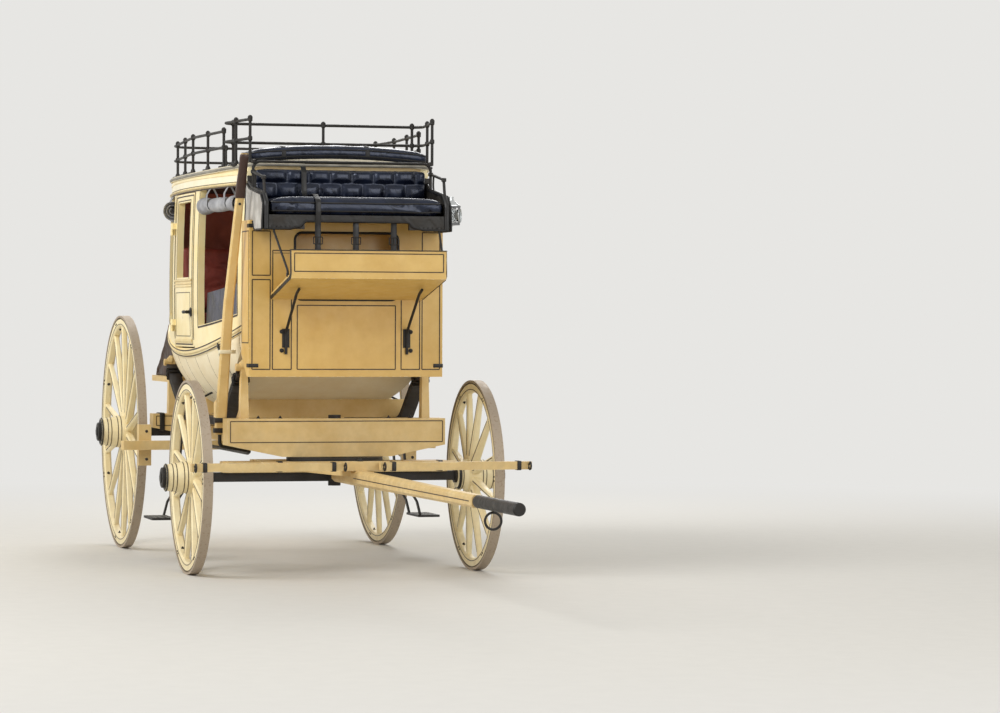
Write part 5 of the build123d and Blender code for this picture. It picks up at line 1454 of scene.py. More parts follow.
@dataclass
class DriverSeat:
    """Driver's box seat: boards in black leather, grey side aprons, stuffed cushions, straps and arm irons."""

    back: float = 0.070
    front: float = 0.520
    skirt: float = 1.838
    seat: float = 1.912
    cushion_top: float = 2.0003
    back_top: float = 2.172
    cushion_half: float = 0.470
    well: float = 0.282
    strap_y: float = -0.212

    def apron(self, side: float) -> None:
        """Weathered leather apron hung over the outside of a wing, bound in black.

        Args:
            side: Side of the coach.
        """
        shape = Shape(f"seat_apron_{word(side)}", Palette.APRON)
        outer, inner = [], []
        for share in steps_between(0.0, 1.0, 30):
            x = self.back + 0.004 + share * (self.front - self.back - 0.002)
            top = 2.094 - 0.034 * min(share / 0.2, 1.0) - 0.04 * max(0.0, min((share - 0.2) / 0.67, 1.0)) \
                - 0.05 * max(0.0, (share - 0.87) / 0.13)
            low = self.skirt - 0.002 + 0.050 * min(1.0, max(0.0, 1.0 - (share - 0.46) / 0.05))
            column_out, column_in = [], []
            for rise in steps_between(0.0, 1.0, 22):
                ripple = 0.0045 * noise.noise(Vector((share * 5.0, rise * 1.6, 3.0 + side)))
                ripple += 0.003 * math.sin(share * 19.0 + rise * 3.0) * (1.0 - rise) ** 2
                lift = max(0.003 + (ripple + 0.004) * (1.0 - rise) ** 0.7, 0.002)
                for column, hide in ((column_out, 0.003), (column_in, 0.0)):
                    column.append(mark(x, side * (SEAT_HALF + lift + hide), low + rise * (top - low)))
            outer.append(column_out)
            inner.append(column_in)
        shape.grid([a + b[::-1] for a, b in zip(outer, inner)])
        piece = shape.placed()
        edge = [c[-1] for c in outer] + outer[-1][::-1] + [c[0] for c in outer[::-1]] + outer[0]
        binding = Shape(f"apron_binding_{word(side)}", Palette.BINDING)
        binding.loop(distinct(edge, 1e-4), 0.0052)
        binding.placed()

    def cushions(self) -> None:
        """Seat cushion with its rolled front, and the back in two tufted rows."""
        near, half = self.back + 0.0226, self.cushion_half
        buttons = tuple((at(near + a), 0.12 * k) for a in (0.15, 0.29) for k in range(-3, 4))
        seat = Pad("seat_cushion", (at(near), -half, self.seat + 0.0006),
                   (at(self.front + 0.006), half, self.cushion_top - 0.004), Palette.GLOSS_HIDE, edge=0.034,
                   crown=0.010, draw_in=0.007, buttons=buttons, depth=0.012, spread=0.024, puff=0.010)
        seat.welts("seat_cushion_welt", seat.made("driver_cushion"), (0.2, 0.8), 0.0042)
        low, high = self.cushion_top + 0.008, self.back_top
        middle = low + 0.52 * (high - low)
        ys = [i * 0.118 for i in range(-3, 4)]
        channels = [((-half, middle), (half, middle))] + [((y, low), (y, middle)) for y in ys] \
            + [((y + 0.059, middle), (y + 0.059, high)) for y in ys]
        Pad("seat_back", (at(near), -half, low), (at(near + 0.060), half, high - 0.002), Palette.GLOSS_HIDE,
            facing=Facing.FORWARD, edge=0.026, draw_in=0.004, channels=tuple(channels), depth=0.016,
            spread=0.020).made("driver_back")

    def strap(self) -> None:
        """Strap that holds the cushions, from the back over the seat's front edge."""
        shape = Shape("seat_strap", Palette.BINDING)
        line = ((0.150, 2.182), (0.176, 2.150), (0.180, 2.04), (0.215, 2.020), (0.45, 2.024), (0.532, 1.99),
                (0.534, 1.93), (0.524, 1.86))
        shape.strap(rounded_route([mark(x, self.strap_y, z) for x, z in line], 0.03), ACROSS, 0.028, 0.003)
        shape.placed()

    def bindings(self) -> None:
        """Rolled edge along the skirt's foot and over the wings, and the nails in it."""
        shape = Shape("skirt_binding", Palette.BINDING)
        line = [(0.5, 0.0), (0.36, 0.0), (0.30, 0.014), (self.well, 0.040)]
        line = [(-y, z) for y, z in line] + line[::-1]
        shape.tube(rounded_route([mark(self.front + 0.001, y, self.skirt + z) for y, z in line], 0.03), 0.006)
        wing = ((self.front, self.skirt), (self.front, 1.970), (self.front - 0.060, 2.020), (self.back + 0.090, 2.060),
                (self.back, 2.100))
        for side in SIDES:
            edge = [mark(x, side * (SEAT_HALF - 0.013), z + 0.001) for x, z in wing]
            shape.tube(rounded_route(edge, 0.03), 0.0145, 10)
        shape.placed()
        nails = Shape("skirt_nails", Palette.IRON)
        for y in [-0.48 + 0.024 * i for i in range(41)]:
            if abs(y) > 0.31:
                nails.nail(mark(self.front + 0.0002, y, self.skirt + 0.014), AHEAD, 0.004, 0.003)
        for side in SIDES:
            for k in range(4):
                nails.nail(mark(0.51, side * (SEAT_HALF + 0.008), 1.85 + 0.03 * k), side * ACROSS, 0.0035, 0.003)
        nails.placed()

    def irons(self) -> None:
        """Short posts and collars on the arm rails, and the stays down to the footboard."""
        shape = Shape("seat_stays", Palette.IRON)
        for side in SIDES:
            shape.tube([mark(x, side * 0.487, z) for x, z in ((0.235, 2.136), (0.228, 2.09), (0.24, 2.045))], 0.0055)
            for x, z in ((0.171, 2.205), (0.171, 2.15), (0.452, 2.109)):
                shape.turned(mark(x, side * 0.487, z), UP, [(-0.011, 0.008), (-0.008, 0.0135), (0.008, 0.0135),
                                                            (0.011, 0.008)], 14)
        for side in SIDES:
            high, low = mark(0.512, side * 0.446, 1.846), mark(0.748, side * 0.4195, 1.596)
            route = [high, high + shift(0.010, 0.0, -0.022), low + shift(-0.014, 0.0, 0.026), low]
            shape.tube(rounded_route(route, 0.012), 0.0062)
            shape.nail(low + shift(y=side * 0.004), side * ACROSS, 0.013, 0.005, 12)
            shape.nail(high + shift(0.008), AHEAD, 0.012, 0.005, 12)
        shape.placed()

    def build(self) -> None:
        """Dress the seat and upholster it."""
        dress(Palette.SEAT_HIDE, "driver_seat")
        dress(Palette.IRON, "seat_irons")
        for side in SIDES:
            self.apron(side)
        self.cushions()
        self.strap()
        self.bindings()
        self.irons()


@dataclass
class RoofSeat:
    """Cushion on the front of the roof, the feet and collars of the two iron rails, and the roof's welt."""

    front: float = 0.088
    back: float = -0.205
    thick: float = 0.075
    crest: float = 2.229
    crown_radius: float = 4.3074
    posts: tuple[Flat, ...] = ((-0.335, 0.548), (-0.690, 0.5687), (-1.055, 0.585), (-1.420, 0.5633), (-1.830, 0.5332),
                               (0.150, 0.500), (-0.0775, 0.531), (-0.305, 0.502))
    middle_posts: tuple[Flat, ...] = ((-2.120, 0.19), (-2.120, -0.19), (-0.305, 0.0))

    def roof_top(self, y: float) -> float:
        """Top of the crowned roof at a distance from the middle."""
        return self.crest - arc_half(self.crown_radius, abs(y))

    def follow(self, spot: Vector) -> Vector:
        """Drop a point by the roof's fall at its distance from the middle."""
        return Vector((spot.x, spot.y, spot.z + self.roof_top(spot.y) - self.crest))

    def cushion(self) -> None:
        """Long cushion that follows the roof's crown, with two straps over it."""
        half = SEAT_HALF - 0.004
        buttons = tuple((at(self.back + a), 0.16 * k - 0.40) for a in (0.09, 0.20) for k in range(6))
        pad = Pad("roof_seat_cushion", (at(self.back), -half, self.crest + 0.0006),
                  (at(self.front) - 0.002, half, self.crest + self.thick - 0.006), Palette.GLOSS_HIDE, edge=0.032,
                  draw_in=0.010, buttons=buttons, depth=0.012, spread=0.024, puff=0.010, bend=self.follow)
        piece = pad.made("roof_cushion")
        pad.welts("roof_cushion_welt", piece, (0.22, 0.78), 0.004)
        straps = Shape("roof_cushion_straps", Palette.BINDING)
        line = [(self.front + 0.012, 0.004), (self.front + 0.004, 0.05)]
        line += [(x, self.thick + 0.012) for x in (0.05, -0.06, -0.17)]
        line += [(self.back - 0.006, 0.05), (self.back - 0.012, 0.004)]
        for y in (-0.30, 0.16):
            route = rounded_route([self.follow(mark(x, y, self.crest + z)) for x, z in line], 0.02)
            straps.strap(on_skin(piece, route, -0.0016), ACROSS, 0.024, 0.003)
        straps.placed()

    def feet(self) -> None:
        """Forged foot plates with their bolts under the rail posts that stand on the roof, and all posts' collars."""
        shape = Shape("rail_feet", Palette.IRON)
        spots = [(x, side * y) for x, y in self.posts for side in SIDES] + [*self.middle_posts]
        for x, y in [(x, y) for x, y in spots if x < self.front]:
            foot = mark(x, y, self.roof_top(y))
            shape.turned(foot, UP, [(-0.006, 0.030), (0.004, 0.030), (0.006, 0.026), (0.008, 0.015), (0.020, 0.012),
                                    (0.026, 0.0085)], 18)
            for t in (0.7, 2.8, 4.9):
                shape.nail(foot + shift(0.022 * math.cos(t), 0.022 * math.sin(t), 0.0045), UP, 0.0035, 0.003)
        for x, y in spots:
            for z in ((2.302, 2.390) if x < -0.32 else (2.328, 2.430)):
                shape.turned(mark(x, y, z), UP, [(-0.013, 0.0085), (-0.009, 0.0125), (0.009, 0.0125), (0.013, 0.0085)],
                             12)
        shape.placed()

    def welt(self) -> None:
        """Tacked welt of the canvas round the roof's edge."""
        shape = Shape("roof_welt", Palette.GREY_EDGE)
        corner = 0.07
        front, back = self.front - 0.004 - corner, BODY_BACK - 0.014 + corner
        nose, tail = (0.635 - gained(PLAN_RADIUS, x) - corner for x in (front, back))
        arc = [(corner * math.sin(t), corner * math.cos(t)) for t in steps_between(0.0, math.pi / 2, 6)]
        line = [(x, 0.635 - gained(PLAN_RADIUS, x)) for x in steps_between(front, back, 40)]
        line += [(back - a, tail + b) for a, b in arc[1:]]
        bow = [(front + a, nose + b) for a, b in arc]
        line += [(x, -y) for x, y in line[::-1] + bow[:-1]] + bow[::-1]
        shape.loop(distinct([mark(x, y, self.roof_top(y) - 0.012) for x, y in line], 1e-3), 0.0075)
        shape.placed()

    def build(self) -> None:
        """Dress the roof's fittings."""
        dress(Palette.IRON, "roof_rail", "roof_seat_rail")
        self.cushion()
        self.feet()
        self.welt()


@dataclass
class Wheel:
    """One spoked wheel: banded hub, bolts and black lines on the spokes and the felloe."""

    end: str
    side: float
    station: float
    diameter: float
    spokes: int
    hub: float
    hub_face: float
    felloe: float = 0.052
    tyre: float = 0.012
    dish: float = 0.020
    track: float = 0.7875

    def __post_init__(self) -> None:
        """Note the wheel's body, axis and middle, and the inside of its felloe."""
        self.body = Body(f"wheel_{self.end}_{word(self.side)}")
        self.axis = self.side * ACROSS
        self.middle = mark(self.station, self.side * self.track, self.diameter / 2)
        self.inner = self.diameter / 2 - self.tyre - self.felloe

    def spot(self, reach: float, angle: float, out: float) -> Vector:
        """Point at a distance from the axle, an angle and an offset outboard."""
        return mark(self.station + reach * math.cos(angle), self.side * (self.track + out),
                    self.diameter / 2 + reach * math.sin(angle))

    def barrel(self, out: float) -> float:
        """Radius of the turned hub at an offset outboard of the wheel's middle.

        Args:
            out: The offset.

        Returns:
            The radius.
        """
        rows = ((-0.105, self.hub_face - 0.006), (-0.071, self.hub_face), (-0.054, self.hub), (0.014, self.hub),
                (0.080, self.hub_face + 0.003), (0.140, self.hub_face - 0.005))
        (near, r0), (far, r1) = next(pair for pair in zip(rows, rows[1:]) if out <= pair[1][0])
        return r0 + (r1 - r0) * (out - near) / (far - near)

    def ring(self, shape: Shape, profile: Sequence[Flat], sides: int = 40) -> None:
        """Turn a closed outline of offsets and radii round the wheel's axis."""
        shape.turned(self.middle, self.axis, profile, sides, True)

    def striping(self) -> None:
        """Black lines along both faces of every spoke and round the felloe and the hub."""
        shape = Shape(f"{self.body.value}_striping", Palette.STRIPE, self.body)
        half_line = 0.0028
        for index in range(self.spokes):
            angle = math.tau * (index + 0.5) / self.spokes
            across = shift(-math.sin(angle), 0.0, math.cos(angle)) * half_line
            for face in SIDES:
                rows = []
                for share in (0.06, 0.93):
                    flat = -self.dish * (1.0 - share) + face * (0.023 - 0.0085 * share)
                    middle = self.spot(self.hub + share * (self.inner - self.hub), angle, flat)
                    rows.append([middle + across * s + self.axis * face * h for s, h in painted_section(0.0011)])
                shape.grid(rows)
        for reach in (self.inner + 0.014, self.inner + self.felloe - 0.006):
            for face in SIDES:
                self.ring(shape, [(face * 0.0225, reach - 0.002), (face * 0.0240, reach - 0.002),
                                  (face * 0.0240, reach + 0.002), (face * 0.0225, reach + 0.002)], 72)
        for out in (-0.080, 0.026, 0.046, 0.084, 0.104):
            low, high = out - 0.0022, out + 0.0022
            near, far = self.barrel(low), self.barrel(high)
            self.ring(shape, [(low, near - 0.001), (low, near + PAINT), (high, far + PAINT), (high, far - 0.001)])
        shape.placed()

    def irons(self) -> None:
        """Hub bands, the hub's cap and nut, felloe bolts and tyre bolt nuts."""
        shape = Shape(f"{self.body.value}_irons", Palette.IRON, self.body)
        face = self.hub_face
        for near, far, r0, r1 in ((-0.1045, -0.090, face - 0.006, face - 0.001),
                                  (0.1315, 0.1395, face - 0.002, face - 0.005)):
            self.ring(shape, [(near, r0 - 0.004), (near, r0 + 0.0026), (near + 0.003, r0 + 0.0036),
                              (far - 0.003, r1 + 0.0036), (far, r1 + 0.0026), (far, r1 - 0.004)])
        self.ring(shape, [(0.1392, 0.052), (0.1420, 0.052), (0.1420, face - 0.009), (0.1392, face - 0.006)])
        self.ring(shape, [(0.1405, 0.0522), (0.1405, 0.0550), (0.1560, 0.0545), (0.1590, 0.0505), (0.1590, 0.026),
                          (0.1577, 0.026), (0.1577, 0.0522)], 32)
        shape.turned(self.middle, self.axis, [(0.1580, 0.030), (0.1630, 0.030), (0.1655, 0.024)], 6)
        for index in range(self.spokes):
            joint = math.tau * index / self.spokes
            if index % 2 == 0:
                for turn in (joint - 0.025 / self.diameter, joint + 0.025 / self.diameter):
                    for out in SIDES:
                        shape.nail(self.spot(self.inner + self.felloe * 0.5, turn, out * 0.0228), self.axis * out,
                                   0.0055, 0.004)
                inward = shift(-math.cos(joint), 0.0, -math.sin(joint))
                shape.nut(self.spot(self.inner + 0.001, joint, 0.0), inward, 0.011, 0.008)
        shape.placed()

    def build(self) -> None:
        """Dress the wheel's wood and tyre and add its fittings."""
        dress(Palette.SPOKES, f"{self.body.value}_wood")
        dress(Palette.TYRE, f"{self.body.value}_tyre")
        self.striping()
        self.irons()


@dataclass
class Gear:
    """Running gear: dressed timbers and irons, stacked leather braces, buckled straps and bolts."""

    timbers: tuple[str, ...] = ("rear_axle_bed", "front_axle_bed", "reaches", "front_bolster", "hounds", "pole",
                                "evener", "singletrees", "front_standards", "rear_standards", "rear_platform",
                                "brake_beam", "brake_lever")
    forged: tuple[str, ...] = ("front_axle", "rear_axle", "king_bolt", "fifth_wheel_upper", "fifth_wheel_lower",
                               "pole_irons", "brake_rod", "steps")
    layers: int = 6
    slack: tuple[Flat, ...] = ((-0.016, 1.078), (-0.190, 0.985), (-0.450, 0.800), (-1.660, 0.800), (-2.020, 0.985),
                               (-2.194, 1.078))
    bar_z: float = 0.599

    def braces(self) -> None:
        """Stacks of leather straps between the standards, each layer cut a little differently."""
        shape = Shape("brace_straps", Palette.BRACE_HIDE)
        dice = random.Random(11)
        hide = BRACE_THICK / self.layers
        for side in SIDES:
            route = rounded_route([mark(x, side * BRACE_Y, z) for x, z in self.slack], 0.29, 12)
            for layer in range(self.layers):
                wide = BRACE_WIDE - 0.001 - 0.005 * dice.random()
                shape.strap(route, ACROSS, wide, hide * 0.93, hide * (layer + 0.5) - BRACE_THICK / 2)
        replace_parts(shape.placed(), "thoroughbraces")

    def shackles(self) -> None:
        """Iron loops that clamp the braces near the standards, and their pins."""
        shape = Shape("brace_shackles", Palette.IRON)
        w, t = BRACE_WIDE / 2 + 0.004, BRACE_THICK / 2 + 0.005
        for side in SIDES:
            for (x0, z0), (x1, z1) in ((self.slack[0], self.slack[1]), (self.slack[5], self.slack[4])):
                way = shift(x1 - x0, 0.0, z1 - z0).normalized()
                start = mark(x0, side * BRACE_Y, z0) + way * 0.062
                up = way.cross(ACROSS).normalized()
                for along in (0.0, 0.040):
                    shape.loop([p + way * along for p in eased_ring(start, ACROSS * w, up * t)], 0.005)
                for a in SIDES:
                    shape.nail(start + shift(y=a * w) + way * 0.020, a * ACROSS, 0.009, 0.006)
        shape.placed()

    def straps(self) -> None:
        """Long straps from the seat to the footboard, and the check straps at the body's sides, buckled."""
        shape, buckles = Shape("seat_and_check_straps", Palette.BINDING), Shape("strap_buckles", Palette.IRON)
        for y in (-0.205, 0.0, 0.205):
            top, foot = mark(0.4905, y, 1.8885), mark(0.4905, y, 1.548)
            shape.strap([top, top.lerp(foot, 0.5) + shift(0.001), foot], ACROSS, 0.032, 0.0045)
            buckles.buckle(top.lerp(foot, 0.32) + shift(0.004), AHEAD, UP)
        for side in SIDES:
            high = ShellFace(side).spot(-0.300, 1.232, 0.0075)
            low = mark(-0.230, side * (BRACE_Y + BRACE_WIDE / 2 + 0.005), 0.980)
            way = (low - high).normalized()
            out = way.cross(AHEAD).normalized() * side
            shape.strap([high.lerp(low, share) for share in (0.0, 0.35, 0.7, 1.0)], AHEAD, 0.034, 0.0045)
            buckles.buckle(high.lerp(low, 0.45) + out * math.copysign(0.003, out.y * side), out, -way)
            buckles.nail(high + way * 0.02, side * ACROSS, 0.008, 0.006)
        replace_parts(shape.placed(), "straps")
        buckles.placed()

    def striping(self) -> None:
        """Dark lines on the bolster, the beds, the platform and the pole."""
        coach, fore = Shape("gear_striping", Palette.STRIPE), Shape("pole_striping", Palette.STRIPE, Body.FORE)
        coach.framed(front_face(0.070), (-0.585, 0.585, 0.705, 0.818), 0.005)
        coach.framed(front_face(-2.150), (-0.600, 0.600, 0.730, 0.786), 0.005)
        for side in SIDES:
            coach.framed(rear_face(-0.070), mirrored(side, (0.25, 0.56, 0.745, 0.818)), 0.004)
        coach.framed(rear_face(-2.945), (-0.488, 0.488, 0.994, 1.012), 0.003, 0.001)
        for side in SIDES:
            rows = []
            for x in steps_between(0.62, 2.90, 12):
                # The pole tapers from its root to its tip.
                half = 0.040 - 0.010 * (x - 0.56) / (2.95 - 0.56)
                rows.append([mark(x, side * (half + lift), 0.535 + s * 0.0025) for s, lift in painted_section(0.001)])
            fore.grid(rows)
            fore.framed(front_face(0.065), mirrored(side, (0.20, 0.59, 0.553, 0.594)), 0.004, 0.001)
        coach.placed()
        fore.placed()

    def bolts(self) -> None:
        """Clips and nuts on the beds and reaches, and the hooks and ferrules of the draught bars."""
        coach, fore = Shape("gear_bolts", Palette.IRON), Shape("draught_irons", Palette.IRON, Body.FORE)
        for side in SIDES:
            for x, y, z in ((0.0, 0.30, 0.832), (0.0, 0.42, 0.832), (-2.21, 0.24, 0.800), (-2.21, 0.36, 0.800)):
                coach.nut(mark(x, side * y, z), UP, 0.015, 0.009)
            clip = eased_ring(mark(-2.21, side * 0.565, 0.7515), AHEAD * 0.063, UP * 0.0515)
            coach.clip(clip, ACROSS, 0.030, 0.005)
            for x in (-0.35, -1.05, -1.75):
                # The reaches spread from the front bed to the rear one.
                coach.nut(mark(x, side * (0.150 + 0.280 * (x + 0.070) / (0.070 - 2.15)), 0.735), UP, 0.013, 0.008)
            for y in (0.16, 0.84):
                clip = eased_ring(mark(0.675, side * y, self.bar_z), AHEAD * 0.027, UP * 0.023)
                fore.clip(clip, ACROSS, 0.022, 0.004)
            for y in (0.105, 0.893):
                curl = [mark(0.718 + 0.024 * math.sin(t), side * y, self.bar_z + 0.020 * math.cos(t))
                        for t in steps_between(0.2, 5.0, 16)]
                fore.tube([mark(0.692, side * y, self.bar_z), *curl], 0.005)
            fore.clip(eased_ring(mark(0.60, side * 0.43, self.bar_z), AHEAD * 0.027, UP * 0.027), ACROSS, 0.024, 0.004)
        fore.nut(mark(0.60, 0.0, 0.623), UP, 0.022, 0.012)
        for x, y in ((0.22, 0.120), (0.40, 0.085)):
            for side in SIDES:
                fore.nut(mark(x, side * y, 0.590), UP, 0.014, 0.008)
        coach.placed()
        fore.placed()

    def treads(self) -> None:
        """Raised pattern on the two step plates."""
        shape = Shape("step_treads", Palette.BRIGHT)
        for side in SIDES:
            for i in range(7):
                for k in range(3):
                    spot = mark((i - 3) * 0.038 - 1.072, side * (0.770 + (k - 1) * 0.036), 0.2485)
                    turn = Matrix.Rotation(0.8 if (i + k) % 2 else -0.8, 3, "Z")
                    shape.block(spot, (0.024, 0.005, 0.003), 0.001, turn)
        shape.placed()

    def build(self) -> None:
        """Dress the gear and add its straps and bolts."""
        dress(Palette.RUNNING, *self.timbers)
        dress(Palette.IRON, *self.forged)
        self.braces()
        self.shackles()
        self.straps()
        self.striping()
        self.bolts()
        self.treads()


@dataclass
class Brake:
    """Brake lever: worn grip, edge lines, rivet and guide clip, with shod blocks."""

    rows: tuple[tuple[float, ...], ...] = ((-0.124, -0.606, 0.742, 0.060, 0.034), (0.060, -0.596, 1.450, 0.054, 0.032),
                                           (0.300, -0.560, 2.238, 0.040, 0.028))
    grip_low: float = 2.005
    grip_top: float = 2.243
    block_x: float = -1.394

    def section(self, z: float) -> tuple[Vector, float, float]:
        """Section of the lever at a height.

        Args:
            z: The height.

        Returns:
            Its middle, half its width across and half its thickness.
        """
        low, high = self.rows[:2] if z < self.rows[1][2] else self.rows[1:]
        share = (z - low[2]) / (high[2] - low[2])
        x, y, _, wide, thick = (a + share * (b - a) for a, b in zip(low, high))
        return mark(x, y, z), wide / 2, thick / 2

    def grip(self) -> None:
        """Worn walnut grip over the lever's top, swelling and rounded at its end."""
        shape = Shape("brake_grip", Palette.GRIP)
        rows = []
        for share, end in zip(steps_between(0.0, 1.0, 20), [1.0] * 19 + [0.9, 0.62]):
            z = self.grip_low + share * (self.grip_top - self.grip_low)
            middle, wide, thick = self.section(min(z, self.rows[2][2] - 0.0001))
            middle.z = z
            size = (1.0 + 0.05 * math.sin(share * 7.0)) * end
            rows.append([middle + shift((thick + 0.0035) * size * a, (wide + 0.0035) * size * b)
                         for a, b in (squared(t, 0.6) for t in turns(20))])
        shape.grid(rows)
        shape.placed()

    def clip(self, shape: Shape, z: float, room: float, width: float, thick: float) -> None:
        """A clip round the lever at a height; its middle line stands a little off the lever."""
        middle, a, b = self.section(z)
        shape.clip(eased_ring(middle, AHEAD * (b + room), ACROSS * (a + room)), UP, width, thick)

    def trim(self) -> None:
        """Edge lines down the lever, a rivet under the grip, the clips, the pale guide clip and the blocks' nails."""
        lines, irons, clip = (Shape("lever_striping", Palette.STRIPE), Shape("lever_irons", Palette.IRON),
                              Shape("lever_clip", Palette.CREAM))
        inset = 0.0035
        for sign_x, sign_y in ((1, -1), (1, 1), (-1, -1), (-1, 1)):
            rows = []
            for z in steps_between(0.80, self.grip_low - 0.004, 26):
                middle, wide, thick = self.section(z)
                rows.append([middle + shift(sign_x * (thick - inset + a), sign_y * (wide - inset + b)) for a, b in
                             ((-0.0042, 0.0002), (-0.0032, 0.0012), (0.0012, -0.0032), (0.0002, -0.0042))])
            lines.grid(rows)
        middle, _, thick = self.section(1.975)
        irons.nail(middle + shift(thick), shift(1.0, 0.0, 0.3), 0.008, 0.005, 12)
        irons.nail(middle - shift(thick), -AHEAD, 0.008, 0.005, 12)
        self.clip(clip, 1.19, 0.004, 0.020, 0.006)
        middle, wide, _ = self.section(1.19)
        clip.strap([middle + shift(y=wide + 0.004), middle + shift(-0.01, wide + 0.030)], UP, 0.020, 0.006)
        for z in (0.765, 0.820):
            self.clip(irons, z, 0.003, 0.026, 0.005)
        for side in SIDES:
            for z in (0.56, 0.72):
                irons.nail(mark(self.block_x, side * 0.7875, z), AHEAD, 0.009, 0.006)
        for shape in (lines, irons, clip):
            shape.placed()

    def build(self) -> None:
        """Finish the brake."""
        self.grip()
        self.trim()


@dataclass
class RearBoot:
    """Leather boot behind the body: a strapped cover over the platform."""

    profile: tuple[Flat, ...] = ((-2.205, 1.471), (-2.335, 1.471), (-2.895, 1.092), (-2.897, 1.024))
    near_half: float = 0.436
    tail_half: float = 0.474
    foot: float = 1.024
    corner: float = 0.055
    strap_y: float = 0.24
    slack: float = 0.022
    hide: float = 0.004

    def top(self, share: float) -> Flat:
        """Ridge line of the cover.

        Args:
            share: Share of its length, from the body.

        Returns:
            Its station and height there.
        """
        spots = rounded_route([Vector((x, 0.0, z)) for x, z in self.profile], 0.10, 6)
        runs = [(b - a).length for a, b in zip(spots, spots[1:])]
        goal = share * sum(runs)
        for a, b, run in zip(spots, spots[1:], runs):
            if goal <= run:
                return tuple(a.lerp(b, goal / run).xz)
            goal -= run
        return tuple(spots[-1].xz)

    def outline(self, x: float, z: float) -> list[Flat]:
        """Section of the cover: up one side, over the top and down the other.

        Args:
            x: Station.
            z: Height of its top.

        Returns:
            Distances to the left and heights.
        """
        # It is narrow between the standards and wider towards the tail.
        share = min(max((-2.295 - x) / 0.10, 0.0), 1.0)
        half = self.near_half + (self.tail_half - self.near_half) * share * share * (3.0 - 2.0 * share)
        drop = max(z - self.foot - 0.002, 0.002)
        corner = min(self.corner, drop * 0.5)
        line = [(-half, self.foot + drop * k / 12) for k in range(11) if drop * k / 12 < drop - corner]
        while len(line) < 11:
            line.append((-half, self.foot + (drop - corner) * len(line) / 11))
        line += [(-half + corner - corner * math.cos(t), z - corner + corner * math.sin(t))
                 for t in steps_between(0.0, math.pi / 2, 5)]
        line += [(y, z) for y in steps_between(-half + corner, 0.0, 16)[1:]]
        return line + [(-y, w) for y, w in line[:-1][::-1]]

    def cover(self) -> Thing:
        """One hide draped from the body to the platform, slack between its straps.

        Returns:
            The placed cover.
        """
        shape = Shape("rear_boot_leather", Palette.BOOT_HIDE)
        rows = []
        for share in steps_between(0.0, 1.0, 56):
            x, z = self.top(share)
            line = self.outline(x, z)
            half = -line[0][0]
            drop = max(z - self.foot - 0.002, 0.002)
            corner = min(self.corner, drop * 0.5)
            keep = min(1.0, share * 9.0) * min(1.0, (1.0 - share) * 9.0)
            outer, inner = [], []
            for k, (y, w) in enumerate(line):
                flat = k / (len(line) - 1)
                strap = min(abs(abs(y) - self.strap_y), abs(abs(y) - 0.43), abs(y)) if w > z - corner else 0.1
                slack = self.slack * min(strap / 0.11, 1.0) ** 1.3 if w > z - corner * 1.01 else 0.0
                sag = math.sin(math.pi * share) * slack
                fold = keep * abs(0.010 * noise.noise(Vector((share * 3.1, flat * 15.0, 1.7)))
                                  + 0.005 * noise.noise(Vector((share * 9.0, flat * 34.0, 4.0))))
                drawn = 0.014 * math.sin(math.pi * min(max((w - self.foot) / drop, 0.0), 1.0)) * (abs(y) > half - 0.001)
                pull = math.copysign(drawn + fold * (abs(y) > half - 0.02), y)
                spot = mark(x, y - pull, w - sag * keep - fold * (w > z - corner * 0.5))
                outer.append(spot)
                inner.append(spot - shift(0.0, math.copysign(self.hide, y) * (abs(y) > half - corner * 0.7),
                                          self.hide * (w > z - corner * 0.7)))
            rows.append(outer + inner[::-1])
        shape.grid(rows)
        piece = shape.placed()
        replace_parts(piece, "rear_boot_cover")
        return piece

    def straps(self, cover: Thing) -> None:
        """Straps over the cover, and their buckles.

        Args:
            cover: The placed cover.
        """
        shape, buckles = Shape("boot_straps", Palette.BINDING), Shape("boot_buckles", Palette.BRIGHT)
        for y in (-self.strap_y, 0.0, self.strap_y):
            ridge = [self.top(share) for share in steps_between(0.02, 0.985, 34)]
            laid = on_skin(cover, [mark(x, y, z + 0.004) for x, z in ridge], -0.0022)
            laid.append(laid[-1] + shift(z=-0.012))
            shape.strap(laid, ACROSS, 0.034, 0.004)
            way = (laid[28] - laid[26]).normalized()
            buckles.buckle(laid[27] + shift(-0.003, 0.0, 0.004), ACROSS.cross(way), -way)
        shape.placed()
        buckles.placed()

    def build(self) -> None:
        """Lay the cover and strap it down."""
        self.straps(self.cover())


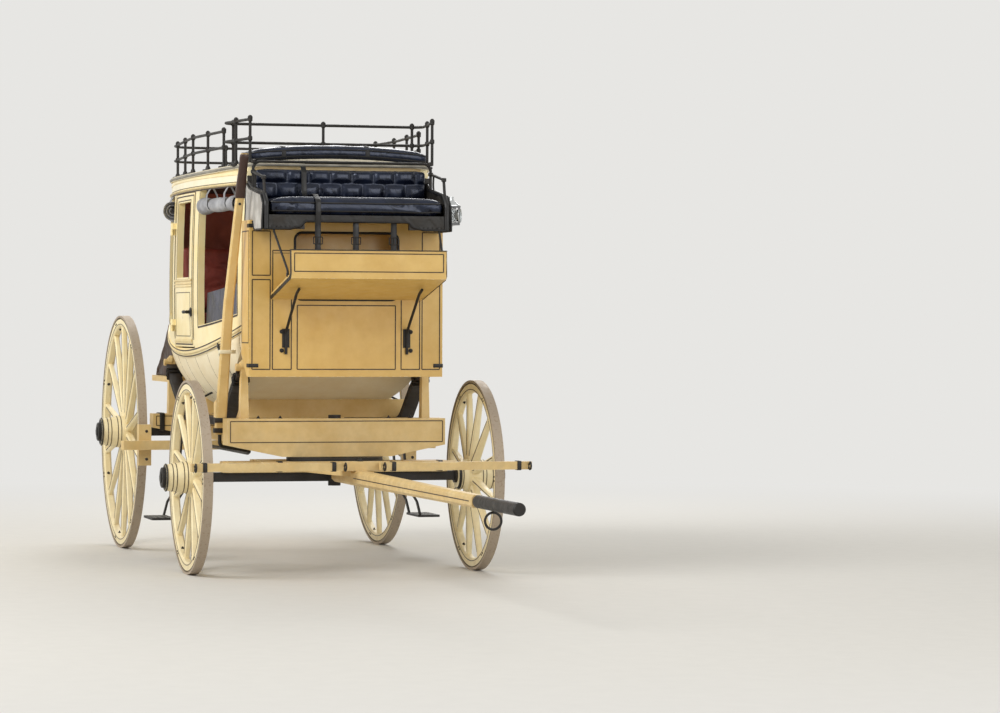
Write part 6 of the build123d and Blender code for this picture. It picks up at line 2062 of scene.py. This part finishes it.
@dataclass
class Cabin:
    """Inside: stained benches, tufted cushions, and leather linings on the walls."""

    front: float = 0.044
    back: float = -2.149
    seat: float = 1.3223
    thick: float = 0.085
    deep: float = 0.350
    top: float = 1.800

    def benches(self) -> None:
        """Seat cushions and backs at both ends of the cabin."""
        for name, end, way in (("front", self.front - 0.040, -1.0), ("rear", self.back + 0.040, 1.0)):
            half = BELT - gained(PLAN_RADIUS, end) - WALL - 0.026
            near, far = sorted((at(end), at(end + way * self.deep)))
            ys = tuple(half * k / 4 for k in (-3, -1, 1, 3))
            Pad(f"bench_seat_{name}", (near, -half, self.seat + 0.0006), (far, half, self.seat + self.thick - 0.008),
                Palette.CLOTH, voxel=0.014, buttons=tuple((near + a, y) for a in (0.12, 0.24) for y in ys),
                puff=0.008).made("bench_cushions")
            low, high = sorted((at(end), at(end + way * 0.058)))
            foot = self.seat + self.thick + 0.004
            Pad(f"bench_back_{name}", (low, -half, foot), (high, half, self.top - 0.002), Palette.CLOTH,
                facing=Facing.FORWARD, edge=0.024, crown=0.004, voxel=0.013, depth=0.012, puff=0.006,
                buttons=tuple((y, foot + b) for b in (0.12, 0.27) for y in ys),
                turned_about=way < 0).made("bench_cushions")

    def quarter_lining(self) -> None:
        """Quilted leather on the inside of the walls under the quarter openings."""
        for side in SIDES[::-1]:
            shape = Shape(f"quarter_lining_{word(side)}", Palette.LINING)
            face = ShellFace(side)
            for x0, x1 in ((-0.650, -0.040), (-2.065, -1.494)):
                rows = []
                for share in steps_between(0.0, 1.0, 32):
                    x = x0 + (x1 - x0) * share
                    low = 1.30 + gained(QUARTER_RADIUS, x)
                    wall, faced = [], []
                    for rise in steps_between(0.0, 1.0, 14):
                        puff = 0.008 * abs(math.sin(math.tau * 2 * share)) ** 0.5 * abs(math.sin(math.pi * rise)) ** 0.5
                        wall.append(face.spot(x, low + 0.20 * rise, -0.040 - 0.010 * rise))
                        faced.append(wall[-1] - shift(y=side * (0.008 + puff)))
                    rows.append(wall + faced[::-1])
                shape.grid(rows)
            shape.placed()

    def end_lining(self) -> None:
        """Quilted maroon leather on the inside of the front and rear walls, above the bench backs."""
        for name, half, way in (("front", 0.474, -1.0), ("rear", 0.464, 1.0)):
            shape, rows = Shape(f"end_lining_{name}", Palette.WALL_HIDE), []
            for across in steps_between(-1.0, 1.0, 48):
                wall, faced = [], []
                for k in range(37):
                    z = 1.42 + 0.70 * k / 36
                    spot = mark(self.front if way < 0 else swell(z) + 0.026, half * across, z)
                    tuft = abs(math.sin(math.pi * (across * 3.0 + k / 9.0)) *
                               math.sin(math.pi * (across * 3.0 - k / 9.0)))
                    edge = min(1.0, (1.0 - abs(across)) * 14.0, k / 2.0, (36 - k) / 2.0)
                    wall.append(spot + shift(way * 0.002))
                    faced.append(spot + shift(way * (0.006 + 0.012 * tuft ** 0.5 * edge)))
                rows.append(wall + faced[::-1])
            shape.grid(rows)
            shape.placed()

    def build(self) -> None:
        """Furnish the cabin."""
        dress(Palette.BENCH, "benches")
        self.benches()
        self.quarter_lining()
        self.end_lining()


@dataclass
class Lamp:
    """Candle lamp on the left of the driver's seat: glazed case, hood, chimney and bracket."""

    station: float = 0.330
    y: float = 0.552
    low: float = 1.872
    half: float = 0.041

    def spot(self, x: float, y: float, z: float) -> Vector:
        """Point measured from the middle of the lamp's foot."""
        return mark(self.station + x, self.y + y, self.low + z)

    def case(self) -> None:
        """Case with four corner posts, three square rims and two closed sides."""
        shape = Shape("lamp_case", Palette.JAPAN)
        for a in SIDES:
            for b in SIDES:
                shape.block(self.spot(a * self.half, b * self.half, 0.050), (0.008, 0.008, 0.100), 0.002)
        for z, wide, high in ((0.004, 0.092, 0.008), (0.098, 0.098, 0.010), (0.012, 0.086, 0.008)):
            shape.block(self.spot(0.0, 0.0, z), (wide, wide, high), 0.006)
        shape.block(self.spot(0.0, -self.half, 0.05), (0.078, 0.003, 0.092), 0.001)
        shape.block(self.spot(-self.half, 0.0, 0.05), (0.003, 0.078, 0.092), 0.001)
        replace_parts(shape.placed(), "lamp")

    def hood(self) -> None:
        """Hood, chimney, turned foot and the bracket to the seat."""
        shape = Shape("lamp_hood", Palette.NICKEL)
        shape.grid([[self.spot(wide * a, wide * b, z) for a, b in (squared(t, 0.5) for t in turns(24))]
                    for z, wide in ((0.103, 0.050), (0.108, 0.050), (0.116, 0.040), (0.128, 0.026), (0.131, 0.024))])
        for profile in ([(0.129, 0.021), (0.150, 0.021), (0.152, 0.013)], [(0.134, 0.0225), (0.138, 0.0225)],
                        [(-0.031, 0.006), (-0.027, 0.012), (-0.019, 0.013), (-0.012, 0.008), (-0.004, 0.019),
                         (0.0, 0.030)]):
            shape.turned(self.spot(0.0, 0.0, 0.0), UP, profile)
        shape.tube([self.spot(0.0, y, z) for y, z in ((-0.006, -0.008), (-0.030, 0.014), (-0.049, 0.018))], 0.0065, 10)
        shape.block(self.spot(0.0, -0.0485, 0.018), (0.030, 0.005, 0.044), 0.004)
        shape.placed()

    def glazing(self) -> None:
        """Bezels, the panes, the reflectors, the candle's tube and the chimney's rim."""
        trim, panes, mirror = (Shape("lamp_bezels", Palette.NICKEL), Shape("lamp_panes", Palette.GLASS),
                               Shape("lamp_reflector", Palette.REFLECTOR))
        for turn, reach in ((0.0, 0.0425), (1.05, 0.056)):
            way, side = shift(math.cos(turn), math.sin(turn)), shift(-math.sin(turn), math.cos(turn))
            spot = self.spot(0.0, 0.0, 0.052) + way * reach
            if turn:
                trim.turned(spot, way, [(-0.022, 0.030), (0.0, 0.036), (0.001, 0.034), (-0.020, 0.028)], 28, True)
                mirror.turned(spot, way, [(-0.010, 0.004), (-0.006, 0.020), (-0.002, 0.031), (-0.004, 0.031),
                                          (-0.009, 0.020), (-0.012, 0.004)], 28)
            trim.loop([spot + side * (0.033 * math.cos(t)) + shift(z=0.038 * math.sin(t)) for t in turns(28)], 0.0036)
            panes.turned(spot - way * 0.003, way, [(0.0, 0.034), (0.0026, 0.034)], 28)
        bowl = [(0.0, 0.004), (0.004, 0.016), (0.012, 0.028), (0.020, 0.033), (0.021, 0.033), (0.012, 0.026),
                (0.005, 0.014), (0.001, 0.004)]
        mirror.turned(self.spot(-0.036, 0.0, 0.052), AHEAD, bowl, 28, True)
        trim.turned(self.spot(0.0, 0.0, 0.015), UP, [(0.0, 0.010), (0.030, 0.009), (0.033, 0.006), (0.044, 0.002)], 16)
        trim.turned(self.spot(0.0, 0.0, 0.150), UP, [(-0.001, 0.0225), (0.002, 0.0225)])
        for shape in (trim, panes, mirror):
            shape.placed()

    def build(self) -> None:
        """Make the lamp."""
        self.case()
        self.hood()
        self.glazing()


@dataclass
class Studio:
    """Pale floor, soft lights and the camera at the photograph's angle."""

    eye: Point = (17.406, -4.0462, 1.3477)
    yaw: float = 164.349
    pitch: float = -0.562
    roll: float = 0.2385
    lens: float = 121.1
    floor_half: float = 60.0
    backdrop: str = "#F2F1EE"
    backdrop_light: float = 0.9
    lamps: tuple[tuple[str, Point, float, float], ...] = (
        ("key", (3.0, -10.5, 8.5), 1240.0, 7.5), ("fill", (12.0, 5.0, 5.0), 420.0, 7.0),
        ("rim", (-9.0, 3.0, 7.0), 420.0, 5.0))

    def camera(self) -> None:
        """Camera fitted to the four wheels."""
        yaw, pitch, roll = (math.radians(a) for a in (self.yaw, self.pitch, self.roll))
        ahead = Vector((math.cos(pitch) * math.cos(yaw), math.cos(pitch) * math.sin(yaw), math.sin(pitch)))
        right = ahead.cross(UP).normalized()
        up = right.cross(ahead)
        across = math.cos(roll) * right + math.sin(roll) * up
        top = -math.sin(roll) * right + math.cos(roll) * up
        data = bpy.data.cameras.new("photo_camera")
        data.lens, data.sensor_width, data.clip_end = self.lens, 36.0, 200.0
        camera = linked("photo_camera", data)
        camera.matrix_world = Matrix([[across[k], top[k], -ahead[k], self.eye[k]] for k in range(3)] + [[0, 0, 0, 1]])
        bpy.context.scene.camera = camera

    def floor(self) -> None:
        """Plain pale floor that keeps the coach's shadow and fades into the backdrop."""
        mesh = bpy.data.meshes.new("studio_floor")
        far = self.floor_half
        mesh.from_pydata([(-far, -far, 0.0), (far, -far, 0.0), (far, far, 0.0), (-far, far, 0.0)], [], [(0, 1, 2, 3)])
        material = Finish("pale_floor", "#D3D0C9", "#DAD7D0", 0.9).made()
        tree = material.node_tree
        away = put(tree, "VectorMath", operation="LENGTH", i0=put(tree, "TexCoord").outputs["Object"])
        fade = put(tree, "Math", operation="MULTIPLY", i1=self.seen(tree), i0=put(
            tree, "MapRange", interpolation_type="SMOOTHSTEP", Value=away, i1=3.9, i2=11.0))
        glow = put(tree, "Emission", Color=self.backdrop, Strength=self.backdrop_light)
        feed(tree, tree.nodes["Material Output"],
             Surface=put(tree, "MixShader", i0=fade, i1=tree.nodes["Principled BSDF"], i2=glow))
        mesh.materials.append(material)
        linked("studio_floor", mesh)

    @staticmethod
    def seen(tree: Tree) -> Node:
        """Whether a ray comes from the camera, or from a glossy or clear surface.

        Args:
            tree: Node tree that asks.

        Returns:
            The node that gives 1 where it does.
        """
        rays = put(tree, "LightPath").outputs
        first = put(tree, "Math", operation="MAXIMUM", i0=rays["Is Camera Ray"], i1=rays["Is Glossy Ray"])
        return put(tree, "Math", operation="MAXIMUM", i0=first, i1=rays["Is Transmission Ray"])

    def lights(self) -> None:
        """A large key light from the coach's right, a fill and a rim, and a pale world."""
        for name, spot, power, size in self.lamps:
            data = bpy.data.lights.new(name, "AREA")
            data.energy, data.size = power, size
            lamp = linked(name, data)
            lamp.location = spot
            lamp.rotation_euler = (Vector((-0.5, 0.0, 1.0)) - Vector(spot)).to_track_quat("-Z", "Y").to_euler()
        world = bpy.data.worlds.new("studio")
        bpy.context.scene.world = world
        world.use_nodes = True
        tree = world.node_tree
        tree.nodes.clear()
        strength = put(tree, "MapRange", Value=self.seen(tree), i1=0.0, i2=1.0, i3=0.55, i4=self.backdrop_light)
        put(tree, "OutputWorld", Surface=put(tree, "Background", Color=self.backdrop, Strength=strength))

    def build(self) -> None:
        """Set the studio up."""
        self.camera()
        self.floor()
        self.lights()
        bpy.context.scene.view_settings.view_transform = "Standard"


def main() -> None:
    """Build the coach's looks around its frame, piece by piece."""
    wheels = [Wheel(end, side, *sizes) for end, *sizes in (("front", 0.0, 1.037, 12, 0.088, 0.074),
                                                           ("rear", -2.210, 1.385, 14, 0.097, 0.083)) for side in SIDES]
    for assembly in (Studio(), Flank(1.0), Flank(-1.0), BodyEnds(), Door(1.0), Door(-1.0), Curtains(), FrontBoot(),
                     DriverSeat(), RoofSeat(), *wheels, Gear(), Brake(), RearBoot(), Cabin(), Lamp()):
        log.info("building %s", type(assembly).__name__)
        assembly.build()


if __name__ == "__main__":
    main()
